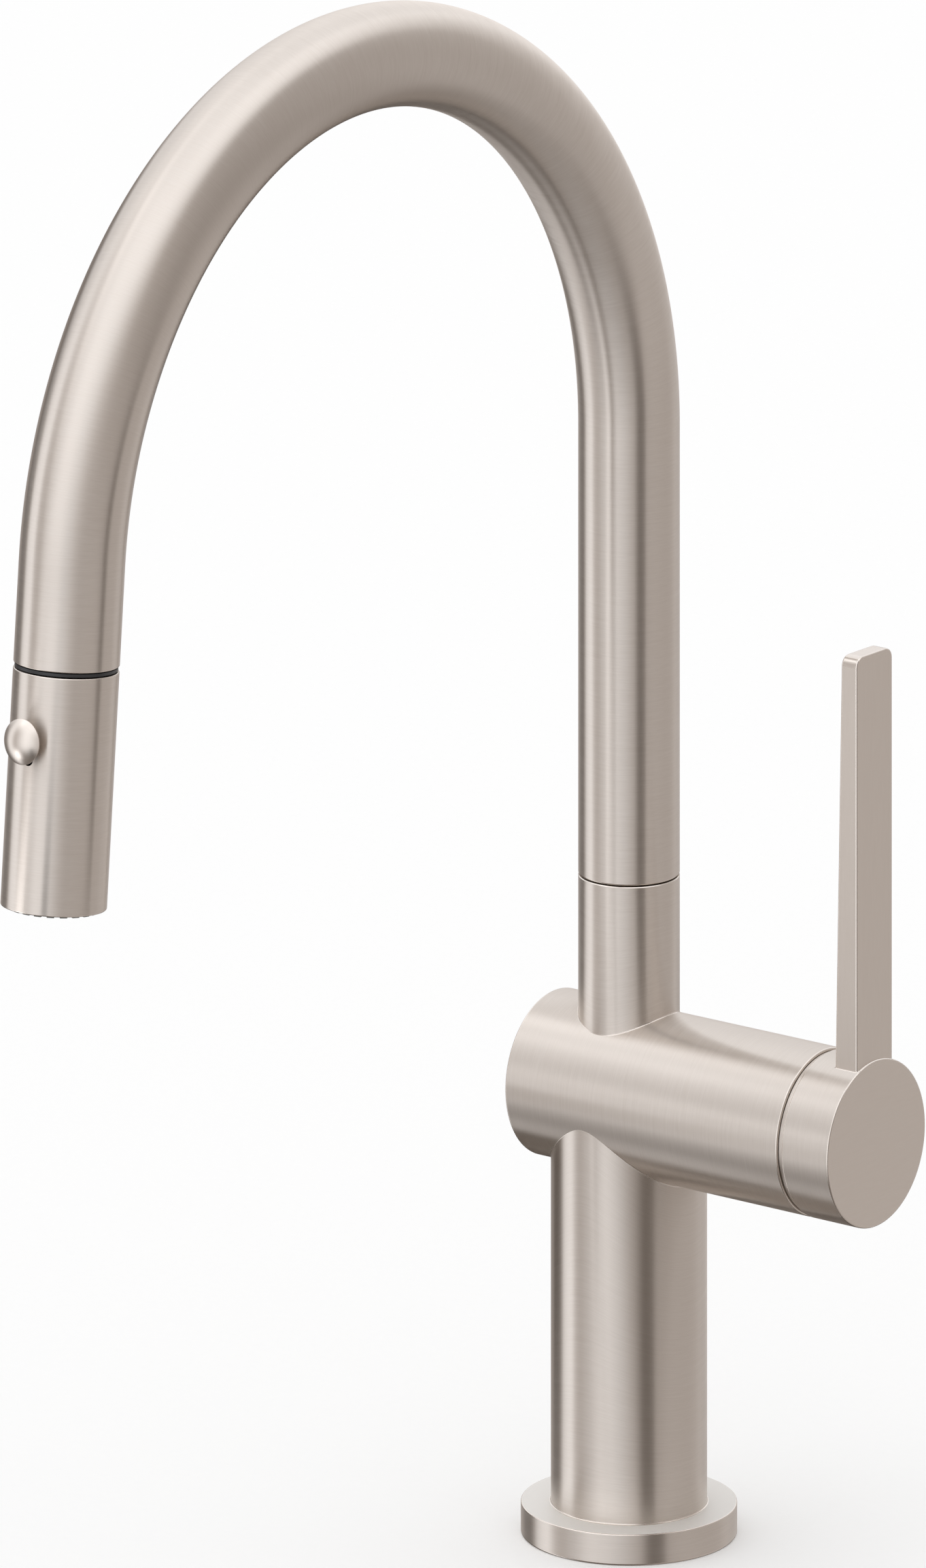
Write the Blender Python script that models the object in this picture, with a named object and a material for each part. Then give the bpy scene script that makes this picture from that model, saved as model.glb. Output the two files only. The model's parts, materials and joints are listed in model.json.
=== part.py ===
"""A pull-down kitchen faucet: a column with a side valve and lever, a swivelling arched spout,
and a spray head that docks in the spout's end and pulls down on its hose.

Sizes are in millimetres and become metres as each mesh is made. +Z is up, the spout reaches
towards -Y, the valve barrel points along +X, and the origin is the centre of the flange's
underside, where the faucet meets the deck.
"""

import math

import bmesh
import bpy
from mathutils import Vector

MM = 0.001
GAP = 0.3  # clearance left between neighbouring pieces
SIDES = 36  # facets around the pieces that show
INNER_SIDES = 16  # facets around the pieces inside

# Column, flange and valve barrel
FLANGE_RADIUS = 28.6
FLANGE_HEIGHT = 8.2
COLUMN_RADIUS = 20.65
COLUMN_BORE = 17.2
BARREL_RADIUS = 21.65
BARREL_BORE = 18.7
BARREL_Z = 117.2
BARREL_LEFT = -24.8
BARREL_RIGHT = 64.6
STUB_BORE = 10.6

# Handle
HUB_LEFT = 66.0
HUB_RIGHT = 81.1
LEVER_FACE_X = 80.5
LEVER_WIDTH = 15.7
LEVER_ROOT_DEPTH = 7.4
LEVER_TIP_DEPTH = 5.2
LEVER_ROOT_Z = 129.3
LEVER_TOP_Z = 245.2
STEM_RADIUS = 4.1

# Spout
TUBE_RADIUS = 13.43
TUBE_BORE = 12.23
SEAM_Z = 174.0
BEND_Z = 292.9
BEND_RADIUS = 116.3
BEND_SWEEP = math.radians(175.1)
BEND_STEPS = 24
TAIL_LENGTH = 24.85  # straight end of the tube after the bend
DOCK_RING_HEIGHT = 0.85
DOCK_GAP = 0.25  # clearance above and below the dock's rim
SWIVEL_HOSE_Z = 210.0  # where the hose passes from the column to the spout

# Spray head
HEAD_LENGTH = 58.9
NECK_RADIUS = 9.5
NECK_HEIGHT = 13.5
HOSE_RADIUS = 5.5
HOSE_PULL_SWEEP = math.radians(15.0)  # last part of the bend, where the hose pays out
KNOB_DROP = 16.2  # knob's axis below the head's top
KNOB_TRAVEL = 4.75
KNOB_NECK_RADIUS = 1.25
SLOT_HALF_WIDTH = KNOB_NECK_RADIUS + GAP
NOZZLES = 22

# Column insert and its three tubes, seen from above
HOSE_OFFSET = -8.5
TUBE_PLACES = {
    "cold_supply_tube": (7.7, 9.2),
    "hot_supply_tube": (7.7, -9.2),
    "mixed_outlet_tube": (12.0, 0.0),
}
SUPPLY_RADIUS = 3.8
STUD_PLACES = ((-1.5, 13.0), (-1.5, -13.0))

# Colour, roughness and metallic value of each finish
FINISHES = {
    "nickel": ((0.60, 0.55, 0.50), 0.32, 1.0),
    "brass": ((0.76, 0.58, 0.30), 0.35, 1.0),
    "steel": ((0.62, 0.62, 0.62), 0.30, 1.0),
    "magnet": ((0.42, 0.42, 0.43), 0.35, 1.0),
    "ceramic": ((0.86, 0.85, 0.82), 0.25, 0.0),
    "acetal": ((0.88, 0.88, 0.86), 0.45, 0.0),
    "grey_plastic": ((0.24, 0.24, 0.24), 0.50, 0.0),
    "black_plastic": ((0.02, 0.02, 0.02), 0.45, 0.0),
    "rubber": ((0.03, 0.03, 0.03), 0.70, 0.0),
    "hose": ((0.10, 0.10, 0.11), 0.60, 0.0),
}


# ---------------------------------------------------------------- making and placing meshes


def clear_scene():
    for item in list(bpy.data.objects):
        bpy.data.objects.remove(item)


def own_material(name, finish):
    colour, roughness, metallic = FINISHES[finish]
    material = bpy.data.materials.new(name)
    material.use_nodes = True
    shader = material.node_tree.nodes["Principled BSDF"]
    shader.inputs["Base Color"].default_value = (*colour, 1.0)
    shader.inputs["Roughness"].default_value = roughness
    shader.inputs["Metallic"].default_value = metallic
    return material


def make_object(name, shape, finish, parent=None):
    """Turns a bmesh in millimetres into an object in metres."""
    bmesh.ops.scale(shape, vec=(MM, MM, MM), verts=shape.verts)
    bmesh.ops.recalc_face_normals(shape, faces=shape.faces)
    mesh = bpy.data.meshes.new(name)
    shape.to_mesh(mesh)
    shape.free()
    mesh.shade_smooth()
    mesh.set_sharp_from_angle(angle=math.radians(35.0))
    item = bpy.data.objects.new(name, mesh)
    bpy.context.scene.collection.objects.link(item)
    item.parent = parent
    if finish:
        mesh.materials.append(own_material(name, finish))
    else:
        item.hide_render = True
        item.display_type = "WIRE"
    return item


def make_frame(name, place, turn=(0.0, 0.0, 0.0)):
    """An empty on a joint's axis; the pieces around that axis are its children."""
    frame = bpy.data.objects.new(name, None)
    frame.location = Vector(place) * MM
    frame.rotation_euler = turn
    bpy.context.scene.collection.objects.link(frame)
    return frame


def turned(name, outline, finish, parent=None, sides=INNER_SIDES):
    """A lathe piece: outline holds (radius, height) points round the section.

    An outline that starts and ends on the axis is left open there and gives a solid piece.
    """
    shape = bmesh.new()
    points = [shape.verts.new((radius, 0.0, height)) for radius, height in outline]
    on_axis = outline[0][0] == 0.0 and outline[-1][0] == 0.0
    pairs = list(zip(points, points[1:]))
    if not on_axis:
        pairs.append((points[-1], points[0]))
    edges = [shape.edges.new(pair) for pair in pairs]
    bmesh.ops.spin(
        shape, geom=points + edges, cent=(0, 0, 0), axis=(0, 0, 1),
        angle=math.tau, steps=sides, use_merge=True,
    )
    bmesh.ops.remove_doubles(shape, verts=shape.verts, dist=0.0001)
    return make_object(name, shape, finish, parent)


def ring(name, inner, outer, low, high, finish, parent=None, sides=INNER_SIDES):
    outline = [(inner, low), (outer, low), (outer, high), (inner, high)]
    return turned(name, outline, finish, parent, sides)


def rod(name, radius, low, high, finish=None, parent=None, sides=INNER_SIDES):
    outline = [(0.0, low), (radius, low), (radius, high), (0.0, high)]
    return turned(name, outline, finish, parent, sides)


def o_ring(name, middle, thickness, height, finish, parent=None, corners=8):
    """A rubber ring of round section, thickness being the section's radius."""
    outline = []
    for corner in range(corners):
        angle = math.tau * (corner + 0.5) / corners
        outline.append((middle + thickness * math.cos(angle), height + thickness * math.sin(angle)))
    return turned(name, outline, finish, parent)


def block(name, low, high, finish=None, parent=None):
    """A box between two corners."""
    shape = bmesh.new()
    bmesh.ops.create_cube(shape, size=1.0)
    low, high = Vector(low), Vector(high)
    for point in shape.verts:
        share = point.co + Vector((0.5, 0.5, 0.5))
        point.co = low + Vector(a * b for a, b in zip(share, high - low))
    return make_object(name, shape, finish, parent)


def swept(name, stations, side_way, outer, inner, finish, sides):
    """A round bar or tube along a plane path.

    stations are (centre, direction) pairs, and side_way is square to the path's plane.
    """
    shape = bmesh.new()
    side_way = Vector(side_way)

    def hoop(centre, direction, radius):
        up_way = Vector(direction).cross(side_way)
        points = []
        for side in range(sides):
            angle = math.tau * side / sides
            offset = side_way * math.cos(angle) + up_way * math.sin(angle)
            points.append(shape.verts.new(Vector(centre) + offset * radius))
        return points

    def join(first, second):
        for side in range(sides):
            after = (side + 1) % sides
            shape.faces.new((first[side], first[after], second[after], second[side]))

    outside = [hoop(centre, direction, outer) for centre, direction in stations]
    for first, second in zip(outside, outside[1:]):
        join(first, second)
    if inner:
        inside = [hoop(centre, direction, inner) for centre, direction in stations]
        for first, second in zip(inside, inside[1:]):
            join(first, second)
        join(outside[0], inside[0])
        join(outside[-1], inside[-1])
    else:
        shape.faces.new(outside[0])
        shape.faces.new(outside[-1])
    return make_object(name, shape, finish)


def combine(item, other, operation):
    boolean = item.modifiers.new(f"{operation.lower()}_{other.name}", "BOOLEAN")
    boolean.operation = operation
    boolean.solver = "EXACT"
    boolean.object = other


def bevel(shape, lines, width, segments):
    bmesh.ops.bevel(
        shape, geom=lines, offset=width, offset_type="OFFSET", segments=segments, profile=0.5,
        affect="EDGES",
    )


def cut(item, *cutters):
    for cutter in cutters:
        combine(item, cutter, "DIFFERENCE")


def join_to(item, *others):
    for other in others:
        combine(item, other, "UNION")


# ---------------------------------------------------------------- frames on the joints' axes


def bend_station(angle):
    """The spout's centre line and its direction, angle radians into the bend."""
    centre = (
        0.0,
        BEND_RADIUS * (math.cos(angle) - 1.0),
        BEND_Z + BEND_RADIUS * math.sin(angle),
    )
    return centre, (0.0, -math.sin(angle), math.cos(angle))


def point_past_bend(distance):
    centre, direction = bend_station(BEND_SWEEP)
    return Vector(centre) + Vector(direction) * distance


def make_frames():
    """Barrel: local +Z along the barrel. Head: local +Z from the head back into the spout."""
    head_tilt = BEND_SWEEP - math.pi
    head_top = point_past_bend(TAIL_LENGTH + DOCK_RING_HEIGHT + 2 * DOCK_GAP)
    return {
        "barrel": make_frame("barrel_axis", (0, 0, BARREL_Z), (0, math.pi / 2, 0)),
        "swivel": make_frame("swivel_axis", (0, 0, 0)),
        "head": make_frame("head_axis", head_top, (head_tilt, 0, 0)),
    }


# ---------------------------------------------------------------- deck flange and column


def make_flange():
    groove_inner, groove_outer, groove_depth = 22.0, 26.0, 2.0
    bore = 18.9
    edge = 0.5
    outline = [
        (bore, 0), (groove_inner, 0), (groove_inner, groove_depth), (groove_outer, groove_depth),
        (groove_outer, 0), (FLANGE_RADIUS - edge, 0), (FLANGE_RADIUS, edge),
        (FLANGE_RADIUS, FLANGE_HEIGHT - edge), (FLANGE_RADIUS - edge, FLANGE_HEIGHT),
        (bore, FLANGE_HEIGHT),
    ]
    turned("base_flange", outline, "nickel", sides=SIDES)
    gasket_top = groove_depth - GAP
    ring("base_gasket", groove_inner + GAP, groove_outer - GAP, 0, gasket_top, "rubber", sides=SIDES)


def make_base_insert():
    """A brass disc in the column's foot that the hoses and the two mounting studs pass through."""
    height = 7.0
    stud_hole = 2.8
    insert = rod("base_insert", COLUMN_BORE - GAP, 0, height, "brass")
    holes = [("hose_hole", HOSE_OFFSET, 0.0, HOSE_RADIUS + GAP)]
    holes += [(f"{name}_hole", x, y, SUPPLY_RADIUS + GAP) for name, (x, y) in TUBE_PLACES.items()]
    holes += [(f"stud_hole_{i}", x, y, stud_hole) for i, (x, y) in enumerate(STUD_PLACES)]
    for name, x, y, radius in holes:
        cutter = rod(name, radius, -1, height + 1, sides=16)
        cutter.location = Vector((x, y, 0)) * MM
        cut(insert, cutter)


def make_body_casting(frames):
    """Column, barrel and upper stub in one hollow casting, open below, above and to the right."""
    spigot, spigot_low = 18.6, 3.0
    shoulder = FLANGE_HEIGHT + GAP
    edge = 0.3
    stub_top = SEAM_Z - GAP / 2
    left_wall, end_edge = 3.0, 0.6
    column = [
        (0, spigot_low), (spigot, spigot_low), (spigot, shoulder), (COLUMN_RADIUS - edge, shoulder),
        (COLUMN_RADIUS, shoulder + edge), (COLUMN_RADIUS, BARREL_Z), (0, BARREL_Z),
    ]
    barrel = [
        (0, BARREL_LEFT), (BARREL_RADIUS - end_edge, BARREL_LEFT),
        (BARREL_RADIUS, BARREL_LEFT + end_edge), (BARREL_RADIUS, BARREL_RIGHT - edge),
        (BARREL_RADIUS - edge, BARREL_RIGHT), (0, BARREL_RIGHT),
    ]
    stub = [
        (0, BARREL_Z - 1), (TUBE_RADIUS, BARREL_Z - 1), (TUBE_RADIUS, stub_top - edge),
        (TUBE_RADIUS - edge, stub_top), (0, stub_top),
    ]
    casting = turned("body_casting", column, "nickel", sides=SIDES)
    join_to(
        casting,
        turned("barrel_outside", barrel, None, frames["barrel"], SIDES),
        turned("stub_outside", stub, None, sides=30),
    )
    bore_end = BARREL_LEFT + left_wall
    cut(
        casting,
        rod("column_bore", COLUMN_BORE, spigot_low - 1, BARREL_Z - 2, sides=32),
        rod("barrel_bore", BARREL_BORE, bore_end, BARREL_RIGHT + 1, None, frames["barrel"], 32),
        rod("stub_bore", STUB_BORE, BARREL_Z - 3, stub_top + 1),
    )


# ---------------------------------------------------------------- water way in the column

SOCKET_TOP = 108.0


def make_supply_tubes():
    bore, low, high = 2.6, GAP, SOCKET_TOP - GAP
    for name, (x, y) in TUBE_PLACES.items():
        tube = ring(name, bore, SUPPLY_RADIUS, low, high, "steel", sides=12)
        tube.location = Vector((x, y, 0)) * MM


def make_valve_body(frames):
    """The brass manifold in the barrel: three tubes enter below, three ports meet the cartridge."""
    left, right, radius, passage = 2.2, 34.8, 18.2, 2.9
    body = rod("valve_body", radius, left, right, "brass", frames["barrel"], 32)
    for name, (x, y) in TUBE_PLACES.items():
        socket_outline = [
            (0, 90), (SUPPLY_RADIUS + GAP, 90), (SUPPLY_RADIUS + GAP, SOCKET_TOP),
            (passage, SOCKET_TOP), (passage, BARREL_Z + 2), (0, BARREL_Z + 2),
        ]
        socket = turned(f"{name}_socket", socket_outline, None, sides=16)
        socket.location = Vector((x, y, 0)) * MM
        port = rod(f"{name}_port", passage, x, right + 1, None, frames["barrel"], 12)
        port.location = Vector((0, y, 0)) * MM
        cut(body, socket, port)


def cut_ports(item, frame, low, high, radius):
    for name, (_, y) in TUBE_PLACES.items():
        port = rod(f"{item.name}_{name}", radius, low, high, None, frame, 12)
        port.location = Vector((0, y, 0)) * MM
        cut(item, port)


def make_cartridge(frames):
    """A rotary ceramic cartridge: a quarter turn of its stem opens cold, then warm, then hot."""
    frame = frames["barrel"]
    seal = rod("cartridge_seal", 12.6, 35.1, 38.2, "rubber", frame)
    cut_ports(seal, frame, 34, 40, 2.4)
    fixed = rod("fixed_ceramic_disc", 13.2, 38.5, 41.5, "ceramic", frame)
    cut_ports(fixed, frame, 37, 43, 2.4)
    pocket = [(0, 43.5), (7.5, 43.5), (7.5, 41.8), (12.6, 41.8), (12.6, 44.8), (0, 44.8)]
    turned("moving_ceramic_disc", pocket, "ceramic", frame)
    stem = [(0, 45.1), (11.0, 45.1), (11.0, 48.0), (STEM_RADIUS, 49.0), (STEM_RADIUS, 72.1), (0, 72.1)]
    turned("cartridge_stem", stem, "brass", frame)
    stem_bore = STEM_RADIUS + GAP
    shell = [
        (12.9, 36.3), (17.4, 36.3), (17.4, 57.5), (9.0, 57.5), (9.0, 63.0), (stem_bore, 63.0),
        (stem_bore, 50.6), (13.6, 50.6), (13.6, 38.3), (12.9, 38.3),
    ]
    turned("cartridge_body", shell, "acetal", frame)
    ring("cartridge_nut", 9.3, 18.35, 57.8, 62.0, "brass", frame)
    bonnet = [
        (15.6, 62.4), (18.3, 62.4), (18.3, 64.9), (20.9, 64.9), (20.9, 65.7), (9.6, 65.7), (9.6, 64.6),
        (15.6, 64.6),
    ]
    turned("bonnet_ring", bonnet, "nickel", frame, SIDES)


# ---------------------------------------------------------------- handle


def make_hub(frames):
    """The handle's hub: a thick disc with a skirt, a boss for the stem and a slot for the lever."""
    edge, stem_bore = 0.35, STEM_RADIUS + GAP
    cavity, cavity_floor, boss, boss_end = 17.0, 72.0, 8.0, 66.4
    outline = [
        (0, HUB_RIGHT), (BARREL_RADIUS - edge, HUB_RIGHT), (BARREL_RADIUS, HUB_RIGHT - edge),
        (BARREL_RADIUS, HUB_LEFT + edge), (BARREL_RADIUS - edge, HUB_LEFT), (cavity, HUB_LEFT),
        (cavity, cavity_floor), (boss, cavity_floor), (boss, boss_end), (stem_bore, boss_end),
        (stem_bore, cavity_floor + 0.5), (0, cavity_floor + 0.5),
    ]
    hub = turned("handle_hub", outline, "nickel", frames["barrel"], SIDES)
    slot = block(
        "lever_slot",
        (LEVER_FACE_X - LEVER_ROOT_DEPTH - GAP, -LEVER_WIDTH / 2 - GAP, LEVER_ROOT_Z - GAP),
        (LEVER_FACE_X + GAP, LEVER_WIDTH / 2 + GAP, BARREL_Z + BARREL_RADIUS + 2),
    )
    lever_middle = LEVER_FACE_X - LEVER_ROOT_DEPTH / 2
    stud_hole = rod("hub_stud_hole", 2.8, 120.0, LEVER_ROOT_Z + 1, sides=16)
    stud_hole.location.x = lever_middle * MM
    screw_x, screw_hole = 69.3, 2.3
    screw_way = rod("set_screw_hole", screw_hole, 90.0, BARREL_Z - STEM_RADIUS, sides=16)
    screw_way.location.x = screw_x * MM
    cut(hub, slot, stud_hole, screw_way)

    screw_outline = [
        (0, 109.6), (0.9, 109.6), (0.9, 108.0), (2.0, 108.0), (2.0, 112.4), (1.4, 112.8), (0, 112.8),
    ]
    screw = turned("hub_set_screw", screw_outline, "steel", sides=16)
    screw.location.x = screw_x * MM
    stud = rod("lever_stud", 2.5, 120.3, 137.0, "steel", sides=16)
    stud.location.x = lever_middle * MM


def make_lever():
    """A flat bar that stands on the hub, upright outside and tapered on its inner face."""
    corner, edge = 1.8, 0.35
    shape = bmesh.new()
    bmesh.ops.create_cube(shape, size=1.0)
    for point in shape.verts:
        upper = point.co.z > 0
        depth = LEVER_TIP_DEPTH if upper else LEVER_ROOT_DEPTH
        point.co.z = (LEVER_TOP_Z if upper else LEVER_ROOT_Z) - BARREL_Z
        point.co.y *= LEVER_WIDTH
        point.co.x = LEVER_FACE_X - (depth if point.co.x < 0 else 0.0)
    top = max(point.co.z for point in shape.verts)
    top_corners = [
        line for line in shape.edges
        if all(point.co.z == top for point in line.verts)
        and abs(line.verts[0].co.x - line.verts[1].co.x) > 1
    ]
    bevel(shape, top_corners, corner, 4)
    bevel(shape, [line for line in shape.edges if line.calc_face_angle(0) > math.radians(60)], edge, 1)
    lever = make_object("handle_lever", shape, "nickel")
    lever.location.z = BARREL_Z * MM
    hole = rod("lever_stud_hole", 2.8, LEVER_ROOT_Z - 1, 137.3, sides=16)
    hole.location.x = (LEVER_FACE_X - LEVER_ROOT_DEPTH / 2) * MM
    cut(lever, hole)


# ---------------------------------------------------------------- spout swivel

POST_LOW = 154.0
POST_BORE = 6.8
POST_RADIUS = 8.6
POST_TOP = 209.0


def make_swivel_post():
    """A brass post screwed into the stub; the spout turns on it."""
    root, groove, groove_half = STUB_BORE - GAP, 7.7, 1.4
    shoulder = SEAM_Z - 0.5
    outline = [(POST_BORE, POST_LOW), (root, POST_LOW), (root, shoulder), (POST_RADIUS, shoulder)]
    for middle in (186.0, 190.5):
        outline += [
            (POST_RADIUS, middle - groove_half), (groove, middle - groove_half),
            (groove, middle + groove_half), (POST_RADIUS, middle + groove_half),
        ]
    outline += [
        (POST_RADIUS, 205.5), (groove, 205.5), (groove, 207.3), (POST_RADIUS, 207.3),
        (POST_RADIUS, POST_TOP), (POST_BORE, POST_TOP),
    ]
    turned("swivel_post", outline, "brass")
    o_ring("swivel_oring_lower", 9.15, 1.1, 186.0, "rubber", corners=6)
    o_ring("swivel_oring_upper", 9.15, 1.1, 190.5, "rubber", corners=6)
    bush_inner, bush_outer = POST_RADIUS + GAP, 10.35
    ring("swivel_bush_lower", bush_inner, bush_outer, SEAM_Z + 0.3, 183.5, "acetal")
    ring("swivel_bush_upper", bush_inner, bush_outer, 193.0, 203.5, "acetal")
    snap = ring("swivel_snap_ring", groove + GAP, 11.2, 205.8, 207.0, "steel")
    cut(snap, block("snap_ring_opening", (-2.0, 5.0, 205.0), (2.0, 14.0, 208.0)))


def make_spout(frames):
    """The arched tube with the brass sleeve that turns on the post."""
    foot = SEAM_Z + GAP / 2
    upright = ((0, 0, foot), (0, 0, 1))
    bend = [bend_station(BEND_SWEEP * step / BEND_STEPS) for step in range(BEND_STEPS + 1)]
    end = (point_past_bend(TAIL_LENGTH), bend[-1][1])
    swept("spout_tube", [upright, *bend, end], (1, 0, 0), TUBE_RADIUS, TUBE_BORE, "nickel", 30)
    ring("swivel_sleeve", 10.75, TUBE_BORE - GAP, foot, 205.3, "brass", frames["swivel"])


# ---------------------------------------------------------------- hose


def make_column_hose():
    """The spray hose rises beside the valve body, then moves over to the column's axis."""
    low, high, steps = 110.0, 166.0, 14
    span = high - low
    stations = [((HOSE_OFFSET, 0, GAP), (0, 0, 1))]
    for step in range(steps + 1):
        share = step / steps
        across = HOSE_OFFSET * (1 - share * share * (3 - 2 * share))
        slope = -HOSE_OFFSET * 6 * share * (1 - share) / span
        stations.append(((across, 0, low + span * share), Vector((slope, 0, 1)).normalized()))
    stations.append(((0, 0, SWIVEL_HOSE_Z - GAP / 2), (0, 0, 1)))
    swept("spray_hose_column", stations, (0, 1, 0), HOSE_RADIUS, None, "hose", 12)


def make_spout_hose():
    steps = 20
    pay_out = BEND_SWEEP - HOSE_PULL_SWEEP
    upright = ((0, 0, SWIVEL_HOSE_Z + GAP / 2), (0, 0, 1))
    bend = [bend_station(pay_out * step / steps) for step in range(steps + 1)]
    swept("spray_hose_spout", [upright, *bend], (1, 0, 0), HOSE_RADIUS, None, "hose", 12)


def make_hose_end(frames):
    """The hose's last stretch, its crimped ferrule and the stem that the head turns on."""
    frame = frames["head"]
    steps = 5
    ferrule_top, ferrule_low, stem_top = 24.0, 9.9, 22.0
    start = BEND_SWEEP - HOSE_PULL_SWEEP + GAP / BEND_RADIUS
    stations = [bend_station(start + (BEND_SWEEP - start) * step / steps) for step in range(steps + 1)]
    tail_end = TAIL_LENGTH + DOCK_RING_HEIGHT + 2 * DOCK_GAP - ferrule_top - GAP
    stations.append((point_past_bend(tail_end), stations[-1][1]))
    swept("hose_tail", stations, (1, 0, 0), HOSE_RADIUS, None, "hose", 12)
    ring("hose_ferrule", 4.4, 6.4, ferrule_low, ferrule_top, "steel", frame)
    bore = 2.6
    stem = [
        (bore, stem_top), (4.1, stem_top), (4.1, -0.8), (6.6, -0.8), (6.6, -2.6), (bore, -2.6),
    ]
    turned("hose_stem", stem, "brass", frame)


# ---------------------------------------------------------------- dock in the spout's end


def make_dock(frames):
    """A black guide with its visible rim, and the magnet that holds the head."""
    frame = frames["head"]
    rim_low, rim_high, rim_radius = DOCK_GAP, DOCK_GAP + DOCK_RING_HEIGHT, 13.1
    guide_bore, guide_top = 9.9, 16.1
    outline = [
        (guide_bore, rim_low), (rim_radius, rim_low), (rim_radius, rim_high), (TUBE_BORE - GAP, rim_high),
        (TUBE_BORE - GAP, guide_top), (guide_bore, guide_top),
    ]
    turned("dock_guide", outline, "black_plastic", frame, SIDES)
    ring("dock_magnet", 7.2, 11.9, 16.5, 20.7, "magnet", frame)
    ring("head_magnet", 7.3, NECK_RADIUS, 13.8, 16.2, "magnet", frame)


# ---------------------------------------------------------------- spray head


def make_head_shell(frames):
    frame = frames["head"]
    edge, lip_bore, lip_depth = 0.3, 9.9, 1.5
    outline = [
        (lip_bore, 0), (TUBE_RADIUS - edge, 0), (TUBE_RADIUS, -edge), (TUBE_RADIUS, -HEAD_LENGTH + edge),
        (TUBE_RADIUS - edge, -HEAD_LENGTH), (TUBE_BORE, -HEAD_LENGTH), (TUBE_BORE, -lip_depth),
        (lip_bore, -lip_depth),
    ]
    shell = turned("head_shell", outline, "nickel", frame, SIDES)
    cut(shell, slot_cutter("knob_slot", frame))


def slot_cutter(name, frame):
    """The round-ended slot in the shell's front that the knob's neck moves in."""
    shape = bmesh.new()
    front = []
    ends = ((KNOB_DROP, math.pi), (KNOB_DROP + KNOB_TRAVEL, 0.0))
    for drop, start in ends:
        for step in range(9):
            angle = start - math.pi * step / 8
            x = SLOT_HALF_WIDTH * math.cos(angle)
            front.append(shape.verts.new((x, -16.0, -drop + SLOT_HALF_WIDTH * math.sin(angle))))
    face = shape.faces.new(front)
    pushed = bmesh.ops.extrude_face_region(shape, geom=[face])
    moved = [item for item in pushed["geom"] if isinstance(item, bmesh.types.BMVert)]
    bmesh.ops.translate(shape, verts=moved, vec=(0, 6.0, 0))
    return make_object(name, shape, None, frame)


def make_head_core(frames):
    """The plastic water way: a neck for the hose, the diverter's chamber and a flared outlet."""
    frame = frames["head"]
    nut_bore, seat, inlet, chamber = 7.3, -5.6, 4.0, 4.55
    outline = [
        (nut_bore, NECK_HEIGHT), (NECK_RADIUS, NECK_HEIGHT), (NECK_RADIUS, -2.0), (11.9, -2.0),
        (11.9, -50.0), (9.5, -50.0), (chamber, -44.0), (chamber, -12.0), (inlet, -12.0),
        (inlet, seat), (nut_bore, seat),
    ]
    core = turned("head_core", outline, "grey_plastic", frame)
    cut(
        core,
        block("slider_pocket", (-4.0, -14.0, -28.8), (4.0, -8.8, -9.0), None, frame),
        block("slider_window", (-2.0, -9.5, -23.2), (2.0, -2.0, -14.2), None, frame),
    )
    ring("hose_nut", STEM_RADIUS + GAP, 7.0, -0.5, 9.5, "brass", frame)
    ring("hose_washer", 3.2, 7.0, -5.3, -2.9, "rubber", frame)
    ring("check_valve", 2.0, 3.7, -11.6, -6.0, "acetal", frame)


def make_selector(frames):
    """The knob on the head's front, its slider behind the shell, and the spool that it moves."""
    frame = frames["head"]
    plate_face, plate_back = -11.3, -9.2
    rim, underside, rim_radius, apex = 16.4, 15.9, 5.65, 18.6
    dome_radius = (rim_radius**2 + (apex - rim) ** 2) / (2 * (apex - rim))
    outline = [
        (0, -plate_face + GAP), (KNOB_NECK_RADIUS, -plate_face + GAP), (KNOB_NECK_RADIUS, underside),
        (rim_radius - 0.4, underside),
    ]
    for step in range(6):
        radius = rim_radius * (1 - step / 5)
        height = apex - dome_radius + math.sqrt(dome_radius**2 - radius**2)
        outline.append((radius, height))
    knob = turned("selector_knob", outline, "nickel", frame, 32)
    knob.location.z = -KNOB_DROP * MM
    knob.rotation_euler.x = math.pi / 2
    half_width, arm_half_width = 3.6, 1.6
    slider = block(
        "selector_slider", (-half_width, plate_face, -23.5), (half_width, plate_back, -9.5),
        "black_plastic", frame,
    )
    arm_root, arm_tip = plate_back - 0.5, -4.6
    arm = block(
        "slider_arm", (-arm_half_width, arm_root, -17.8), (arm_half_width, arm_tip, -14.6), None, frame,
    )
    join_to(slider, arm)
    spool_radius, groove, bore = 4.2, 2.8, 1.8
    spool = [
        (bore, -14.6), (spool_radius, -14.6), (spool_radius, -29.8), (groove, -29.8), (groove, -32.2),
        (spool_radius, -32.2), (spool_radius, -35.0), (bore, -35.0),
    ]
    turned("diverter_spool", spool, "acetal", frame)
    o_ring("spool_oring", 3.7, 0.55, -31.0, "rubber", frame, 6)


def make_spray_face(frames):
    """The outlet: a face plate, a ring of rubber nozzles round it, and the aerator in the middle."""
    frame = frames["head"]
    ring("face_seal", 9.2, 11.6, -52.1, -50.4, "rubber", frame)
    ring("spray_face", 7.8, 10.1, -58.0, -52.5, "grey_plastic", frame)
    make_nozzle_ring(frame)
    ring("aerator_housing", 5.7, 7.5, -58.3, -51.0, "acetal", frame)
    insert = rod("aerator_insert", 5.4, -57.6, -52.0, "grey_plastic", frame)
    for hole in range(6):
        angle = math.tau * hole / 6
        jet = rod(f"aerator_jet_{hole}", 0.9, -60, -50, None, frame, 8)
        jet.location = Vector((3.2 * math.cos(angle), 3.2 * math.sin(angle), 0)) * MM
        cut(insert, jet)


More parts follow.
